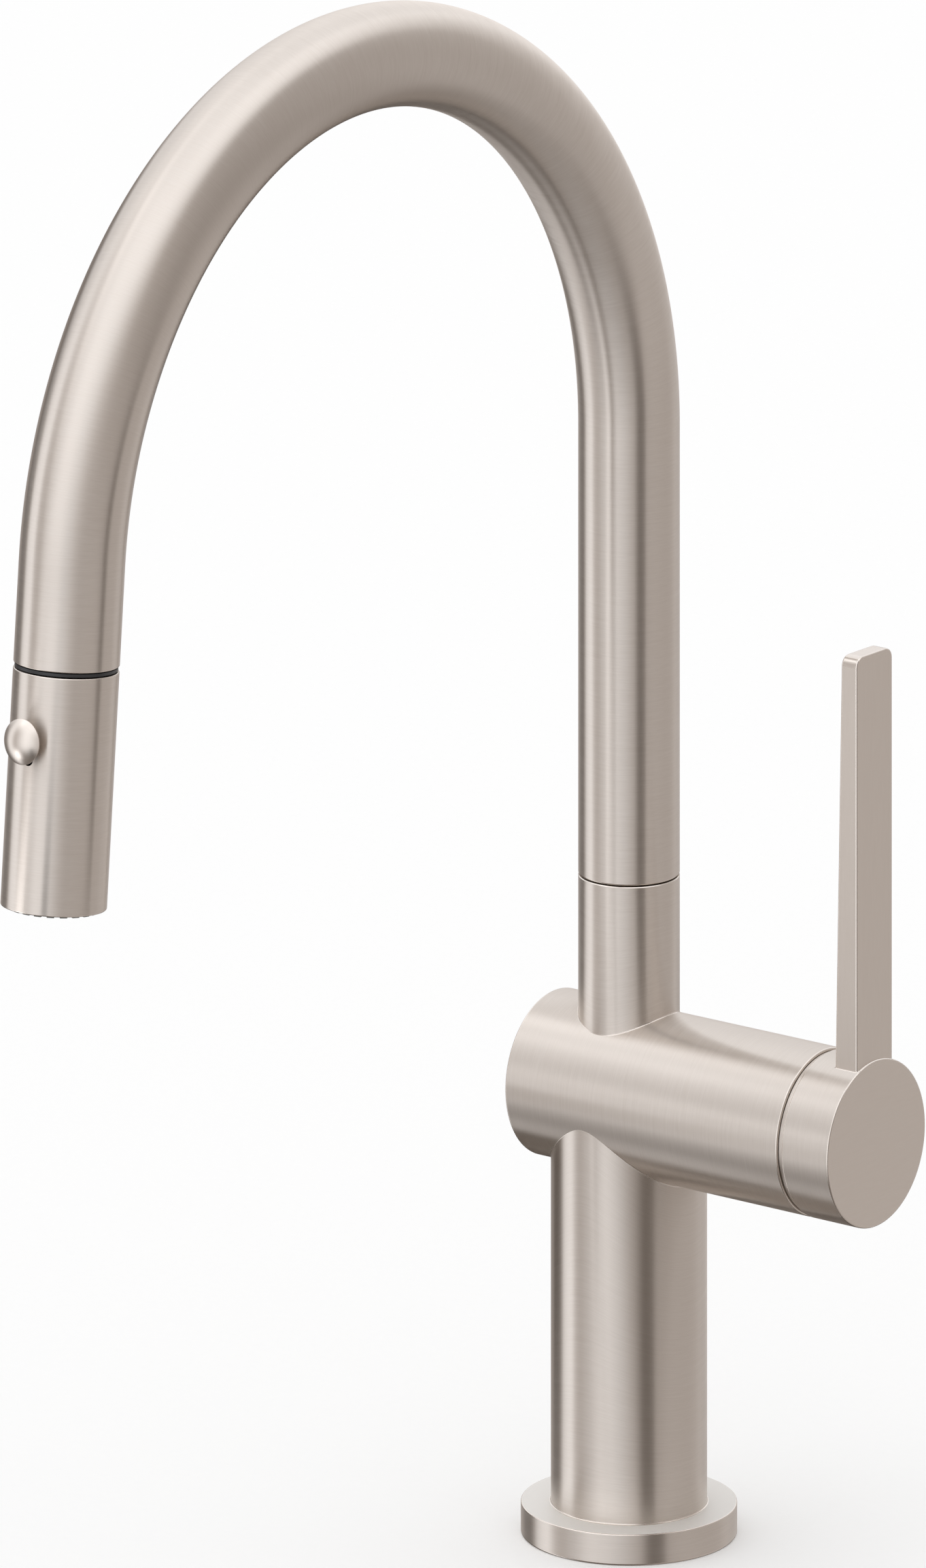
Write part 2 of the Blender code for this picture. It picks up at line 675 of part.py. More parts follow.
def make_nozzle_ring(frame):
    """A rubber ring whose lower face carries short square nozzles, two facets each, one between."""
    inner, outer, top, face, tip = 10.4, 11.9, -53.0, -58.4, -59.45
    facets = NOZZLES * 3
    shape = bmesh.new()

    def hoop(radius, height):
        turns = [math.tau * facet / facets for facet in range(facets)]
        return [shape.verts.new((radius * math.cos(t), radius * math.sin(t), height)) for t in turns]

    loops = [hoop(inner, face), hoop(outer, face), hoop(outer, top), hoop(inner, top)]
    under = []
    for number, loop in enumerate(loops):
        after = loops[(number + 1) % 4]
        for facet in range(facets):
            nxt = (facet + 1) % facets
            made = shape.faces.new((loop[facet], loop[nxt], after[nxt], after[facet]))
            if number == 0 and facet % 3:
                under.append(made)
    bmesh.ops.recalc_face_normals(shape, faces=shape.faces)
    pushed = bmesh.ops.extrude_face_region(shape, geom=under)
    moved = [item for item in pushed["geom"] if isinstance(item, bmesh.types.BMVert)]
    bmesh.ops.translate(shape, verts=moved, vec=(0, 0, tip - face))
    bmesh.ops.delete(shape, geom=[item for item in under if item.is_valid], context="FACES_ONLY")
    make_object("nozzle_ring", shape, "rubber", frame)


def main():
    clear_scene()
    frames = make_frames()
    make_flange()
    make_base_insert()
    make_body_casting(frames)
    make_supply_tubes()
    make_valve_body(frames)
    make_cartridge(frames)
    make_hub(frames)
    make_lever()
    make_swivel_post()
    make_spout(frames)
    make_column_hose()
    make_spout_hose()
    make_hose_end(frames)
    make_dock(frames)
    make_head_shell(frames)
    make_head_core(frames)
    make_selector(frames)
    make_spray_face(frames)


main()
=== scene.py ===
"""How the pull-down kitchen faucet looks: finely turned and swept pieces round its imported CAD
frame, their brushed nickel and other finishes, and a plain pale studio.

Lengths are in millimetres and become metres as each mesh is made, in the CAD model's frame.
"""

import json
import math

import bmesh
import bpy
from mathutils import Matrix, Vector


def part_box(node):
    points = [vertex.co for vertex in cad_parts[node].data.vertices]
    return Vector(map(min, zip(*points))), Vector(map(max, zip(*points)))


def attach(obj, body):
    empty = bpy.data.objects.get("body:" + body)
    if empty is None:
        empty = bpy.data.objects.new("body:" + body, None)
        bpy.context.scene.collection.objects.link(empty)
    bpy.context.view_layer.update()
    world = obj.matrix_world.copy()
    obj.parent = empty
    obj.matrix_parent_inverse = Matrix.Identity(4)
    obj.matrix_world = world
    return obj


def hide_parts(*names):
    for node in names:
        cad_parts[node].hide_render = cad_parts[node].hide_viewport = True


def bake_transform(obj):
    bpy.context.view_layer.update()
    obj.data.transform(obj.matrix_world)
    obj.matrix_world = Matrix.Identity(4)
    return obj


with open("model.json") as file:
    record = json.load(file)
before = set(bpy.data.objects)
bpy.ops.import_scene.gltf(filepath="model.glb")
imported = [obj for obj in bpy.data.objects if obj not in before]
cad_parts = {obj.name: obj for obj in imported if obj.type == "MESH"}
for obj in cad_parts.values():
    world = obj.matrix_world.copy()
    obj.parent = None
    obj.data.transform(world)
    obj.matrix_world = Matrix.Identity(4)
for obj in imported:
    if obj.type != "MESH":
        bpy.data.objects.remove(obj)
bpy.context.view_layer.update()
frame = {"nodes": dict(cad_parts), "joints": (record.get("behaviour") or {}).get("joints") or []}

MM = 0.001
X, Y, Z = 0, 1, 2
GAP = 0.3  # clearance that the CAD model keeps between neighbouring pieces
FIT = 0.02  # how closely two finished pieces meet where no gap shows
SIDES = 180  # facets round the pieces that show
SMALL_SIDES = 72  # facets round the small and the inner pieces
ARC_STEPS = 8  # steps in each rounded edge
SHARP = math.radians(14.0)  # edges that turn more than this stay crisp
BRUSHING = "brushing"  # the map whose u runs across the brush marks


def span(node, axis):
    """A CAD node's lowest and highest place along an axis."""
    low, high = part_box(node)
    return low[axis] / MM, high[axis] / MM


def joint(name):
    return next(item for item in frame["joints"] if item["name"] == name)


# Driving sizes, read from the frame
FLANGE_RADIUS, FLANGE_HEIGHT = span("base_flange", X)[1], span("base_flange", Z)[1]
BARREL_LEFT, BARREL_RIGHT = span("body_casting", X)
HUB_LEFT, HUB_RIGHT = span("handle_hub", X)
BARREL_RADIUS = span("handle_hub", Y)[1]
BARREL_Z = joint("handle_turn")["pos_m"][Z] / MM
LEVER_LOW, LEVER_TOP = span("handle_lever", Z)
LEVER_WIDTH = 2 * span("handle_lever", Y)[1]
LEVER_BACK_X, LEVER_FACE_X = span("handle_lever", X)
TUBE_RADIUS = span("spout_tube", X)[1]
SEAM_Z = joint("spout_swivel")["pos_m"][Z] / MM
HEAD_TOP = Vector(joint("head_spin")["pos_m"]) / MM
PULL_LENGTH = joint("head_pull")["range_m"][1] / MM

# Sizes that a box doesn't give
COLUMN_RADIUS = 20.65
COLUMN_BORE = 17.2
BARREL_BORE = 18.7
STUB_BORE = 10.6
STEM_RADIUS = 4.1
STUD_HOLE = 2.8
LEVER_TIP_DEPTH = 5.2
TUBE_BORE = 12.23
BEND_Z = 292.9
BEND_RADIUS = 116.3
BEND_SWEEP = math.radians(175.1)
TAIL_LENGTH = 24.85
DOCK_GAP = 0.25
DOCK_RING_HEIGHT = 0.85
FERRULE_TOP = 24.0
HEAD_LENGTH = 58.9
NECK_RADIUS = 9.5
HOSE_RADIUS = 5.5
HOSE_PULL_SWEEP = math.radians(15.0)
KNOB_DROP = 16.2
KNOB_TRAVEL = 4.75
KNOB_NECK_RADIUS = 1.25
NOZZLES = 22

BARREL = Matrix.Translation((0, 0, BARREL_Z)) @ Matrix.Rotation(math.pi / 2, 4, "Y")
HEAD = Matrix.Translation(HEAD_TOP) @ Matrix.Rotation(BEND_SWEEP - math.pi, 4, "X")
KNOB = HEAD @ Matrix.Translation((0, 0, -KNOB_DROP)) @ Matrix.Rotation(math.pi / 2, 4, "X")


# ---------------------------------------------------------------- shader nodes


def add(tree, kind, inputs=None, **settings):
    """A shader node; inputs holds either plain values or the sockets to link from."""
    item = tree.nodes.new(kind)
    for key, value in settings.items():
        setattr(item, key, value)
    for key, value in (inputs or {}).items():
        if isinstance(value, bpy.types.NodeSocket):
            tree.links.new(value, item.inputs[key])
        else:
            item.inputs[key].default_value = value
    return item


def calc(tree, operation, *values, clamp=False):
    item = add(tree, "ShaderNodeMath", dict(enumerate(values)), operation=operation, use_clamp=clamp)
    return item.outputs[0]


def ramp(tree, factor, stops):
    """A colour ramp; stops are (place, colour) or (place, grey) pairs."""
    item = add(tree, "ShaderNodeValToRGB", {"Fac": factor})
    points = item.color_ramp.elements
    while len(points) < len(stops):
        points.new(1.0)
    for point, (place, colour) in zip(points, stops):
        point.position = place
        point.color = (*colour, 1.0) if isinstance(colour, tuple) else (colour, colour, colour, 1.0)
    return item.outputs["Color"]


def mix(tree, factor, first, second):
    item = add(tree, "ShaderNodeMix", data_type="RGBA")
    share, colour_a, colour_b = item.inputs[0], item.inputs[6], item.inputs[7]
    for socket, value in ((share, factor), (colour_a, first), (colour_b, second)):
        if isinstance(value, bpy.types.NodeSocket):
            tree.links.new(value, socket)
        elif socket.type == "RGBA":
            socket.default_value = (*value, 1.0)
        else:
            socket.default_value = value
    return item.outputs[2]


def noise(tree, vector, scale, detail=2.0, roughness=0.5):
    inputs = {"Vector": vector, "Scale": scale, "Detail": detail, "Roughness": roughness}
    return add(tree, "ShaderNodeTexNoise", inputs).outputs["Fac"]


def stretched(tree, vector, factors):
    mapping = add(tree, "ShaderNodeMapping", {"Vector": vector, "Scale": factors})
    return mapping.outputs["Vector"]


def new_material(name, **constants):
    """A material whose Principled shader has these constants on its own sockets."""
    material = bpy.data.materials.new(name)
    material.use_nodes = True
    tree = material.node_tree
    shader = tree.nodes["Principled BSDF"]
    for socket, value in constants.items():
        shader.inputs[socket.replace("_", " ")].default_value = value
    return material, tree, shader


def finish_shader(tree, shader, colour, roughness, height, strength, distance):
    tree.links.new(colour, shader.inputs["Base Color"])
    tree.links.new(roughness, shader.inputs["Roughness"])
    bump = add(tree, "ShaderNodeBump", {"Height": height, "Strength": strength, "Distance": distance})
    tree.links.new(bump.outputs["Normal"], shader.inputs["Normal"])


# ---------------------------------------------------------------- materials

NICKEL_TONES = ((0.665, 0.600, 0.540), (0.735, 0.672, 0.612))
# lighter tones for the flange's flat faces: painted light that brightens its top, not a colour of the
# nickel
LIT_TOP_TONES = ((0.760, 0.735, 0.700), (0.810, 0.785, 0.750))


def brush_vector(tree, wrapped):
    """Coordinates that run slowly along the brush marks and fast across them.

    A wrapped piece's marks run round it and meet themselves.
    """
    point = add(tree, "ShaderNodeUVMap", uv_map=BRUSHING).outputs["UV"]
    split = add(tree, "ShaderNodeSeparateXYZ", {"Vector": point})
    across, along = split.outputs["X"], split.outputs["Y"]
    if not wrapped:
        slow = calc(tree, "MULTIPLY", along, 0.06)
        return add(tree, "ShaderNodeCombineXYZ", {"X": across, "Y": slow}).outputs["Vector"]
    turn = calc(tree, "MULTIPLY", along, math.tau)
    circle = {"X": across, "Y": calc(tree, "COSINE", turn), "Z": calc(tree, "SINE", turn)}
    return add(tree, "ShaderNodeCombineXYZ", circle).outputs["Vector"]


def brushed_nickel(name, wrapped, anisotropy, roughness, depth, metallic=1.0, tones=NICKEL_TONES):
    """Satin nickel whose fine brush marks run round the piece, or straight along a flat one.

    depth is how strongly the marks show; the eased edges are rubbed smoother than the rest.
    """
    material, tree, shader = new_material(name, Metallic=metallic, Anisotropic=anisotropy)
    point = brush_vector(tree, wrapped)
    fine = noise(tree, stretched(tree, point, (4.2, 2.6, 2.6)), 1.0, 3.0, 0.65)
    coarse = noise(tree, stretched(tree, point, (1.1, 1.7, 1.7)), 1.0, 2.0)
    cloud = noise(tree, stretched(tree, point, (0.05, 0.8, 0.8)), 1.0, 1.0)
    marks = calc(tree, "MULTIPLY_ADD", fine, 0.65, calc(tree, "MULTIPLY", coarse, 0.35))
    swing = calc(tree, "SUBTRACT", marks, 0.5)
    tone = calc(tree, "MULTIPLY_ADD", swing, 2.5 * depth, 0.5, clamp=True)
    colour = mix(tree, tone, *tones)
    spread = calc(tree, "MULTIPLY_ADD", marks, 0.16 * depth, roughness - 0.08 * depth)
    spread = calc(tree, "MULTIPLY_ADD", cloud, 0.03, calc(tree, "SUBTRACT", spread, 0.015))
    finish_shader(tree, shader, colour, spread, marks, 0.10 * depth, 0.00005)
    if anisotropy:
        way = add(tree, "ShaderNodeTangent", direction_type="UV_MAP", uv_map=BRUSHING)
        tree.links.new(way.outputs["Tangent"], shader.inputs["Tangent"])
    return material


def machined(name, dark, light, roughness):
    """Turned metal with faint tool rings and a slightly clouded surface."""
    material, tree, shader = new_material(name, Metallic=1.0)
    point = add(tree, "ShaderNodeTexCoord").outputs["Object"]
    grain = noise(tree, point, 900.0, 3.0, 0.6)
    cloud = noise(tree, point, 60.0, 2.0)
    colour = mix(tree, ramp(tree, cloud, ((0.3, 0.0), (0.7, 1.0))), dark, light)
    spread = calc(tree, "MULTIPLY_ADD", grain, 0.14, roughness - 0.07)
    finish_shader(tree, shader, colour, spread, grain, 0.12, 0.00004)
    return material


def moulded(name, dark, light, roughness, grain_scale=1500.0, strength=0.15):
    """Moulded plastic or rubber with a fine spark-eroded grain."""
    material, tree, shader = new_material(name)
    point = add(tree, "ShaderNodeTexCoord").outputs["Object"]
    grain = noise(tree, point, grain_scale, 4.0, 0.7)
    cloud = noise(tree, point, 90.0, 2.0)
    colour = mix(tree, ramp(tree, cloud, ((0.3, 0.0), (0.7, 1.0))), dark, light)
    spread = calc(tree, "MULTIPLY_ADD", grain, 0.20, roughness - 0.10)
    finish_shader(tree, shader, colour, spread, grain, strength, 0.00006)
    return material


def braided(name):
    """The hose's nylon jacket: two sets of fine strands that cross round the hose."""
    material, tree, shader = new_material(name)
    point = add(tree, "ShaderNodeUVMap", uv_map=BRUSHING).outputs["UV"]
    split = add(tree, "ShaderNodeSeparateXYZ", {"Vector": point})
    turn = calc(tree, "MULTIPLY", split.outputs["Y"], 16.0)
    rise = calc(tree, "MULTIPLY", split.outputs["X"], 0.42)
    strands = []
    for way in ("ADD", "SUBTRACT"):
        wave = calc(tree, "SINE", calc(tree, "MULTIPLY", calc(tree, way, turn, rise), math.tau))
        strands.append(calc(tree, "MULTIPLY_ADD", wave, 0.5, 0.5))
    over = calc(tree, "MULTIPLY", *strands)
    under = calc(tree, "MAXIMUM", *strands)
    weave = calc(tree, "MULTIPLY_ADD", over, 0.6, calc(tree, "MULTIPLY", under, 0.4))
    object_point = add(tree, "ShaderNodeTexCoord").outputs["Object"]
    fibre = noise(tree, object_point, 2500.0, 2.0)
    colour = mix(tree, weave, (0.045, 0.046, 0.050), (0.150, 0.152, 0.160))
    spread = calc(tree, "MULTIPLY_ADD", fibre, 0.25, 0.35)
    finish_shader(tree, shader, colour, spread, weave, 0.5, 0.0002)
    return material


TURNED = brushed_nickel("nickel_turned", True, 1.0, 0.36, 1.0)
FLAT = brushed_nickel("nickel_flat", False, 0.0, 0.36, 0.35)
EDGE = brushed_nickel("nickel_edge", True, 0.0, 0.24, 0.5)
DOMED = brushed_nickel("nickel_domed", True, 0.0, 0.31, 0.4)
# a lighter, partly matt copy of the nickel: painted light for the flange's brighter top, not a finish
# of its own
LIT_TOP_NICKEL = brushed_nickel("nickel_lit_top_painted_light", False, 0.0, 0.55, 0.25, 0.35, LIT_TOP_TONES)
BRASS = machined("brass_machined", (0.70, 0.50, 0.23), (0.83, 0.64, 0.34), 0.34)
STEEL = machined("steel_machined", (0.56, 0.56, 0.57), (0.68, 0.68, 0.69), 0.30)
MAGNET = machined("magnet_plated", (0.38, 0.38, 0.40), (0.50, 0.50, 0.52), 0.36)
CERAMIC = moulded("ceramic_lapped", (0.82, 0.81, 0.78), (0.90, 0.89, 0.86), 0.22, 600.0, 0.05)
ACETAL = moulded("acetal_moulded", (0.82, 0.82, 0.79), (0.88, 0.88, 0.86), 0.42)
GREY_PLASTIC = moulded("grey_plastic_moulded", (0.17, 0.17, 0.17), (0.23, 0.23, 0.23), 0.46)
BLACK_PLASTIC = moulded("black_plastic_moulded", (0.012, 0.012, 0.013), (0.022, 0.022, 0.024), 0.36)
RUBBER = moulded("rubber_moulded", (0.040, 0.040, 0.042), (0.070, 0.070, 0.073), 0.58, 1100.0, 0.25)
NOZZLE_RUBBER = moulded(
    "nozzle_rubber_moulded", (0.130, 0.128, 0.122), (0.180, 0.178, 0.170), 0.5, 1100.0, 0.2,
)
JACKET = braided("hose_jacket_braided")

NICKEL = (TURNED, FLAT, EDGE)  # round sides, flat faces, eased edges
ROUND, LEVEL, EASED = range(3)
SLOT_LOOKS = {
    "brushed_nickel": NICKEL,
    "brass": (BRASS,) * 3,
    "steel": (STEEL,) * 3,
    "magnet": (MAGNET,) * 3,
    "acetal": (ACETAL,) * 3,
    "grey_plastic": (GREY_PLASTIC,) * 3,
    "black_plastic": (BLACK_PLASTIC,) * 3,
    "rubber": (RUBBER,) * 3,
    "hose_jacket": (JACKET,) * 3,
}


# ---------------------------------------------------------------- making meshes


def skin(name, rows, kinds):
    """Joins rows of points into a closed skin; a row is a ring of points or a single one.

    kinds gives the material of each band; the last band joins the last row to the first.
    """
    shape = bmesh.new()
    brushing = shape.loops.layers.uv.new(BRUSHING)
    rings = [[shape.verts.new(Vector(point)) for point in row] for row in rows]
    place = 0.0
    for band, low in enumerate(rings):
        high = rings[(band + 1) % len(rings)]
        length = (low[0].co - high[0].co).length
        sides = max(len(low), len(high))
        if sides == 1:
            continue
        for side in range(sides):
            corners = [(low, side, place), (low, side + 1, place)]
            corners += [(high, side + 1, place + length), (high, side, place + length)]
            points, marks = [], []
            for ring, turn, along in corners:
                point = ring[turn % len(ring)]
                if point not in points:
                    points.append(point)
                    marks.append((along, turn / sides))
            face = shape.faces.new(points)
            face.material_index = kinds[band]
            for loop, mark in zip(face.loops, marks):
                loop[brushing].uv = loop.vert.co.xy if kinds[band] == LEVEL else mark
        place += length
    bmesh.ops.scale(shape, vec=(MM, MM, MM), verts=shape.verts)
    return to_object(name, shape)


def to_object(name, shape, place=None):
    bmesh.ops.recalc_face_normals(shape, faces=shape.faces)
    mesh = bpy.data.meshes.new(name)
    shape.to_mesh(mesh)
    shape.free()
    for look in NICKEL:  # booleans keep a face's material only where its slot exists
        mesh.materials.append(look)
    item = bpy.data.objects.new(name, mesh)
    bpy.context.scene.collection.objects.link(item)
    if place is not None:
        put(item, place)
    return item


def put(item, place):
    """Moves a mesh, made in metres, by a matrix whose place is in millimetres."""
    metres = place.copy()
    metres.translation = place.translation * MM
    item.data.transform(metres)


def rounded(outline):
    """Turns each (radius, height, rounding) corner of a closed outline into an arc.

    Gives the points, and for each point whether an arc runs on from it to the next.
    """
    points, on_arc = [], []
    for number, corner in enumerate(outline):
        here = Vector(corner[:2])
        if len(corner) == 2:
            points.append(here)
            on_arc.append(False)
            continue
        back = (Vector(outline[number - 1][:2]) - here).normalized()
        ahead = (Vector(outline[(number + 1) % len(outline)][:2]) - here).normalized()
        half = back.angle(ahead) / 2
        centre = here + (back + ahead).normalized() * corner[2] / math.sin(half)
        first = here + back * corner[2] / math.tan(half) - centre
        sweep = (math.pi - 2 * half) * math.copysign(1.0, back.cross(ahead))
        for step in range(ARC_STEPS + 1):
            turn = Matrix.Rotation(-sweep * step / ARC_STEPS, 2)
            points.append(centre + turn @ first)
            on_arc.append(step < ARC_STEPS)
    return points, on_arc


def turned(name, outline, place=None, sides=SIDES):
    """A lathe piece round the local Z axis from a closed (radius, height, rounding) outline."""
    points, on_arc = rounded(outline)
    rows, kinds = [], []
    for number, (radius, height) in enumerate(points):
        after = points[(number + 1) % len(points)]
        level = abs(after.x - radius) > 3 * abs(after.y - height)
        kinds.append(EASED if on_arc[number] else LEVEL if level else ROUND)
        rows.append(hoop(radius, height, sides))
    item = skin(name, rows, kinds)
    if place is not None:
        put(item, place)
    return item


def washer(bore, outside, low, high, rounding):
    """The outline of a plain ring with rounded edges."""
    corners = ((bore, low), (outside, low), (outside, high), (bore, high))
    return [(*corner, rounding) for corner in corners]


def hoop(radius, height, sides):
    """A ring of points round the Z axis, or the one point on it."""
    count = sides if radius else 1
    angles = [math.tau * side / count for side in range(count)]
    return [(radius * math.cos(angle), radius * math.sin(angle), height) for angle in angles]


def swept(name, stations, kinds, sides=SIDES):
    """A closed skin along a path in the YZ plane, from (centre, direction, radius) stations."""
    rows = []
    for centre, direction, radius in stations:
        side_way = Vector((1, 0, 0))
        up_way = Vector(direction).cross(side_way)
        angles = [math.tau * side / sides for side in range(sides)]
        rows.append([
            Vector(centre) + (side_way * math.cos(angle) + up_way * math.sin(angle)) * radius
            for angle in angles
        ])
    return skin(name, rows, kinds)


def prism(name, outline, low, high, place=None):
    """A straight piece of the given flat (x, y) outline between two heights."""
    shape = bmesh.new()
    face = shape.faces.new([shape.verts.new((x, y, low)) for x, y in outline])
    pushed = bmesh.ops.extrude_face_region(shape, geom=[face])
    moved = [item for item in pushed["geom"] if isinstance(item, bmesh.types.BMVert)]
    bmesh.ops.translate(shape, verts=moved, vec=(0, 0, high - low))
    bmesh.ops.scale(shape, vec=(MM, MM, MM), verts=shape.verts)
    return to_object(name, shape, place)


def regular(corners, radius, turn=0.0, x=0.0, y=0.0):
    angles = [math.tau * corner / corners + turn for corner in range(corners)]
    return [(x + radius * math.cos(angle), y + radius * math.sin(angle)) for angle in angles]


def rod(name, radius, low, high, place=None, sides=SMALL_SIDES, x=0.0, y=0.0):
    return prism(name, regular(sides, radius, x=x, y=y), low, high, place)


def box(name, low, high, place=None):
    corners = [(low[X], low[Y]), (high[X], low[Y]), (high[X], high[Y]), (low[X], high[Y])]
    return prism(name, corners, low[Z], high[Z], place)


def combined(item, operation, others):
    """Applies exact booleans with the other pieces, which are used up."""
    for other in others:
        modifier = item.modifiers.new(operation, "BOOLEAN")
        modifier.operation = operation
        modifier.solver = "EXACT"
        modifier.object = other
    bpy.context.view_layer.update()
    graph = bpy.context.evaluated_depsgraph_get()
    mesh = bpy.data.meshes.new_from_object(item.evaluated_get(graph))
    item.modifiers.clear()
    item.data = mesh
    for other in others:
        bpy.data.objects.remove(other)
    return item


def stand_for(item, body, slot, *nodes, looks=None):
    """Gives a finished piece its materials and lets it stand for CAD nodes on their body."""
    for index, look in enumerate(looks or SLOT_LOOKS[slot]):
        item.data.materials[index] = look
    item.data.shade_smooth()
    item.data.set_sharp_from_angle(angle=SHARP)
    even = item.modifiers.new("even_normals", "WEIGHTED_NORMAL")
    even.keep_sharp = True
    if body:
        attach(item, body)
    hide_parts(*nodes)
    return item


# ---------------------------------------------------------------- base


def make_flange():
    groove_inner, groove_outer, groove_depth, bore, fillet = 22.0, 26.0, 2.0, 18.9, 0.4
    outline = [
        (bore, 0), (groove_inner, 0), (groove_inner, groove_depth), (groove_outer, groove_depth),
        (groove_outer, 0), (FLANGE_RADIUS, 0, 0.6), (FLANGE_RADIUS, FLANGE_HEIGHT, 0.3),
        (COLUMN_RADIUS, FLANGE_HEIGHT, fillet), (COLUMN_RADIUS, FLANGE_HEIGHT + fillet),
        (COLUMN_RADIUS - 0.1, FLANGE_HEIGHT + fillet), (COLUMN_RADIUS - 0.1, FLANGE_HEIGHT - 0.1),
        (bore, FLANGE_HEIGHT - 0.1),
    ]
    flange = turned("flange", outline)
    # the flange's flat faces take the lighter copy of the nickel, painted light on its top
    stand_for(flange, "base", "brushed_nickel", "base_flange", looks=(TURNED, LIT_TOP_NICKEL, EDGE))


def barrel_fillet(outline, upward):
    """Rows of points for the small fillet where an upright piece meets the barrel's round side.

    outline holds (x, y, outward normal) of the upright piece. A ball rolls along the corner: it
    touches the piece, and sinks slightly into the barrel so that the two skins cross cleanly.
    """
    fillet, sink = 0.45, 0.02
    way = 1 if upward else -1
    rows = [[] for _ in range(ARC_STEPS + 1)]
    for x, y, normal in outline:
        side_way = y + fillet * normal.y
        rise = math.sqrt((BARREL_RADIUS + fillet - sink) ** 2 - side_way**2)
        ball = Vector((x + fillet * normal.x, side_way, way * rise))
        to_piece = Vector((-normal.x, -normal.y, 0))
        to_barrel = -Vector((0, ball.y, ball.z)).normalized()
        for step, row in enumerate(rows):
            touch = to_piece.slerp(to_barrel, step / ARC_STEPS)
            row.append(ball + touch * fillet + Vector((0, 0, BARREL_Z)))
    return rows


def make_post(name, radius, outer_end, upward):
    """The column below the barrel, or the stub above it, ending inside the barrel."""
    core = BARREL_Z + (-5.0 if upward else 5.0)
    turns = [math.tau * side / SIDES for side in range(SIDES)]
    normals = [Vector((math.cos(turn), math.sin(turn))) for turn in turns]
    fillet = barrel_fillet([(*(normal * radius), normal) for normal in normals], upward)
    rows, kinds = [hoop(0, outer_end, SIDES)], [LEVEL]
    if upward:
        chamfer = 0.2
        rows += [hoop(radius - chamfer, outer_end, SIDES), hoop(radius, outer_end - chamfer, SIDES)]
        kinds.append(EASED)
    else:
        rows.append(hoop(radius, outer_end, SIDES))
    rows += [*fillet, hoop(radius, core, SIDES), hoop(0, core, SIDES)]
    kinds += [ROUND, *[EASED] * ARC_STEPS, ROUND, LEVEL, ROUND]
    return skin(name, rows, kinds)


def make_body():
    """Column, barrel and stub of one casting, with its bores."""
    spigot, spigot_low, left_wall, core, steps = 18.6, 3.0, 3.0, 10.0, 48
    barrel_edge, past = 0.5, 1.0
    stub_top = SEAM_Z - GAP / 2
    run = BARREL_RIGHT - BARREL_LEFT
    outline = [(0, BARREL_LEFT), (BARREL_RADIUS, BARREL_LEFT, barrel_edge)]
    outline += [(BARREL_RADIUS, BARREL_LEFT + run * step / steps) for step in range(1, steps)]
    outline += [(BARREL_RADIUS, BARREL_RIGHT, barrel_edge), (0, BARREL_RIGHT)]
    body = turned("body", outline, BARREL)
    column = make_post("column", COLUMN_RADIUS, FLANGE_HEIGHT, False)
    foot = rod("column_foot", spigot, spigot_low, FLANGE_HEIGHT + past, sides=SIDES)
    combined(body, "UNION", [column, make_post("stub", TUBE_RADIUS, stub_top, True), foot])
    column_bore = rod("column_bore", COLUMN_BORE, spigot_low - past, BARREL_Z - 2)
    bore_ends = BARREL_LEFT + left_wall, BARREL_RIGHT + past
    barrel_bore = rod("barrel_bore", BARREL_BORE, *bore_ends, BARREL, SIDES)
    stub_bore = rod("stub_bore", STUB_BORE, BARREL_Z + core, stub_top + past)
    combined(body, "DIFFERENCE", [column_bore, barrel_bore, stub_bore])
    stand_for(body, "base", "brushed_nickel", "body_casting")


def make_bonnet_ring():
    skirt_bore, skirt, skirt_end, lip, stem_bore, front = 15.6, 18.3, 62.4, 20.9, 9.6, 65.8
    outline = [
        (skirt_bore, skirt_end), (skirt, skirt_end), (skirt, 64.75), (lip, 64.75),
        (lip, front, 0.15), (stem_bore, front, 0.3), (stem_bore, 64.6), (skirt_bore, 64.6),
    ]
    ring = turned("groove_ring", outline, BARREL)
    stand_for(ring, "base", "brushed_nickel", "bonnet_ring")


# ---------------------------------------------------------------- handle


def lever_centre_x():
    return (LEVER_BACK_X + LEVER_FACE_X) / 2


def make_hub():
    edge, stem_bore, stem_end_room = 0.5, STEM_RADIUS + GAP, 0.5
    cavity, cavity_floor, boss, boss_end = 17.0, 72.0, 8.0, 66.4
    screw_x, screw_hole, screw_hole_low, stud_hole_low = 69.3, 2.3, 90.0, 120.0
    bore_end = cavity_floor + stem_end_room
    outline = [
        (0, HUB_RIGHT), (BARREL_RADIUS, HUB_RIGHT, edge), (BARREL_RADIUS, HUB_LEFT, edge),
        (cavity, HUB_LEFT), (cavity, cavity_floor), (boss, cavity_floor), (boss, boss_end),
        (stem_bore, boss_end), (stem_bore, bore_end), (0, bore_end),
    ]
    hub = turned("hub", outline, BARREL)
    half = LEVER_WIDTH / 2 + FIT
    slot = box(
        "lever_slot", (LEVER_BACK_X - FIT, -half, LEVER_LOW - GAP),
        (LEVER_FACE_X + FIT, half, BARREL_Z + BARREL_RADIUS + 2),
    )
    stud_way = rod("stud_way", STUD_HOLE, stud_hole_low, LEVER_LOW + 1, x=lever_centre_x())
    screw_way = rod("screw_way", screw_hole, screw_hole_low, BARREL_Z - STEM_RADIUS, x=screw_x)
    combined(hub, "DIFFERENCE", [slot, stud_way, screw_way])
    stand_for(hub, "handle", "brushed_nickel", "handle_hub")

    low, socket_top, top, radius, socket = 108.0, 109.6, 112.8, 2.0, 1.0
    outline = [(0, low), (radius, low, 0.2), (radius, top, 0.5), (0, top)]
    screw = turned("set_screw", outline, sides=SMALL_SIDES)
    combined(screw, "DIFFERENCE", [prism("hex", regular(6, socket), low - 1, socket_top)])
    put(screw, Matrix.Translation((screw_x, 0, 0)))
    stand_for(screw, "handle", "steel", "hub_set_screw")


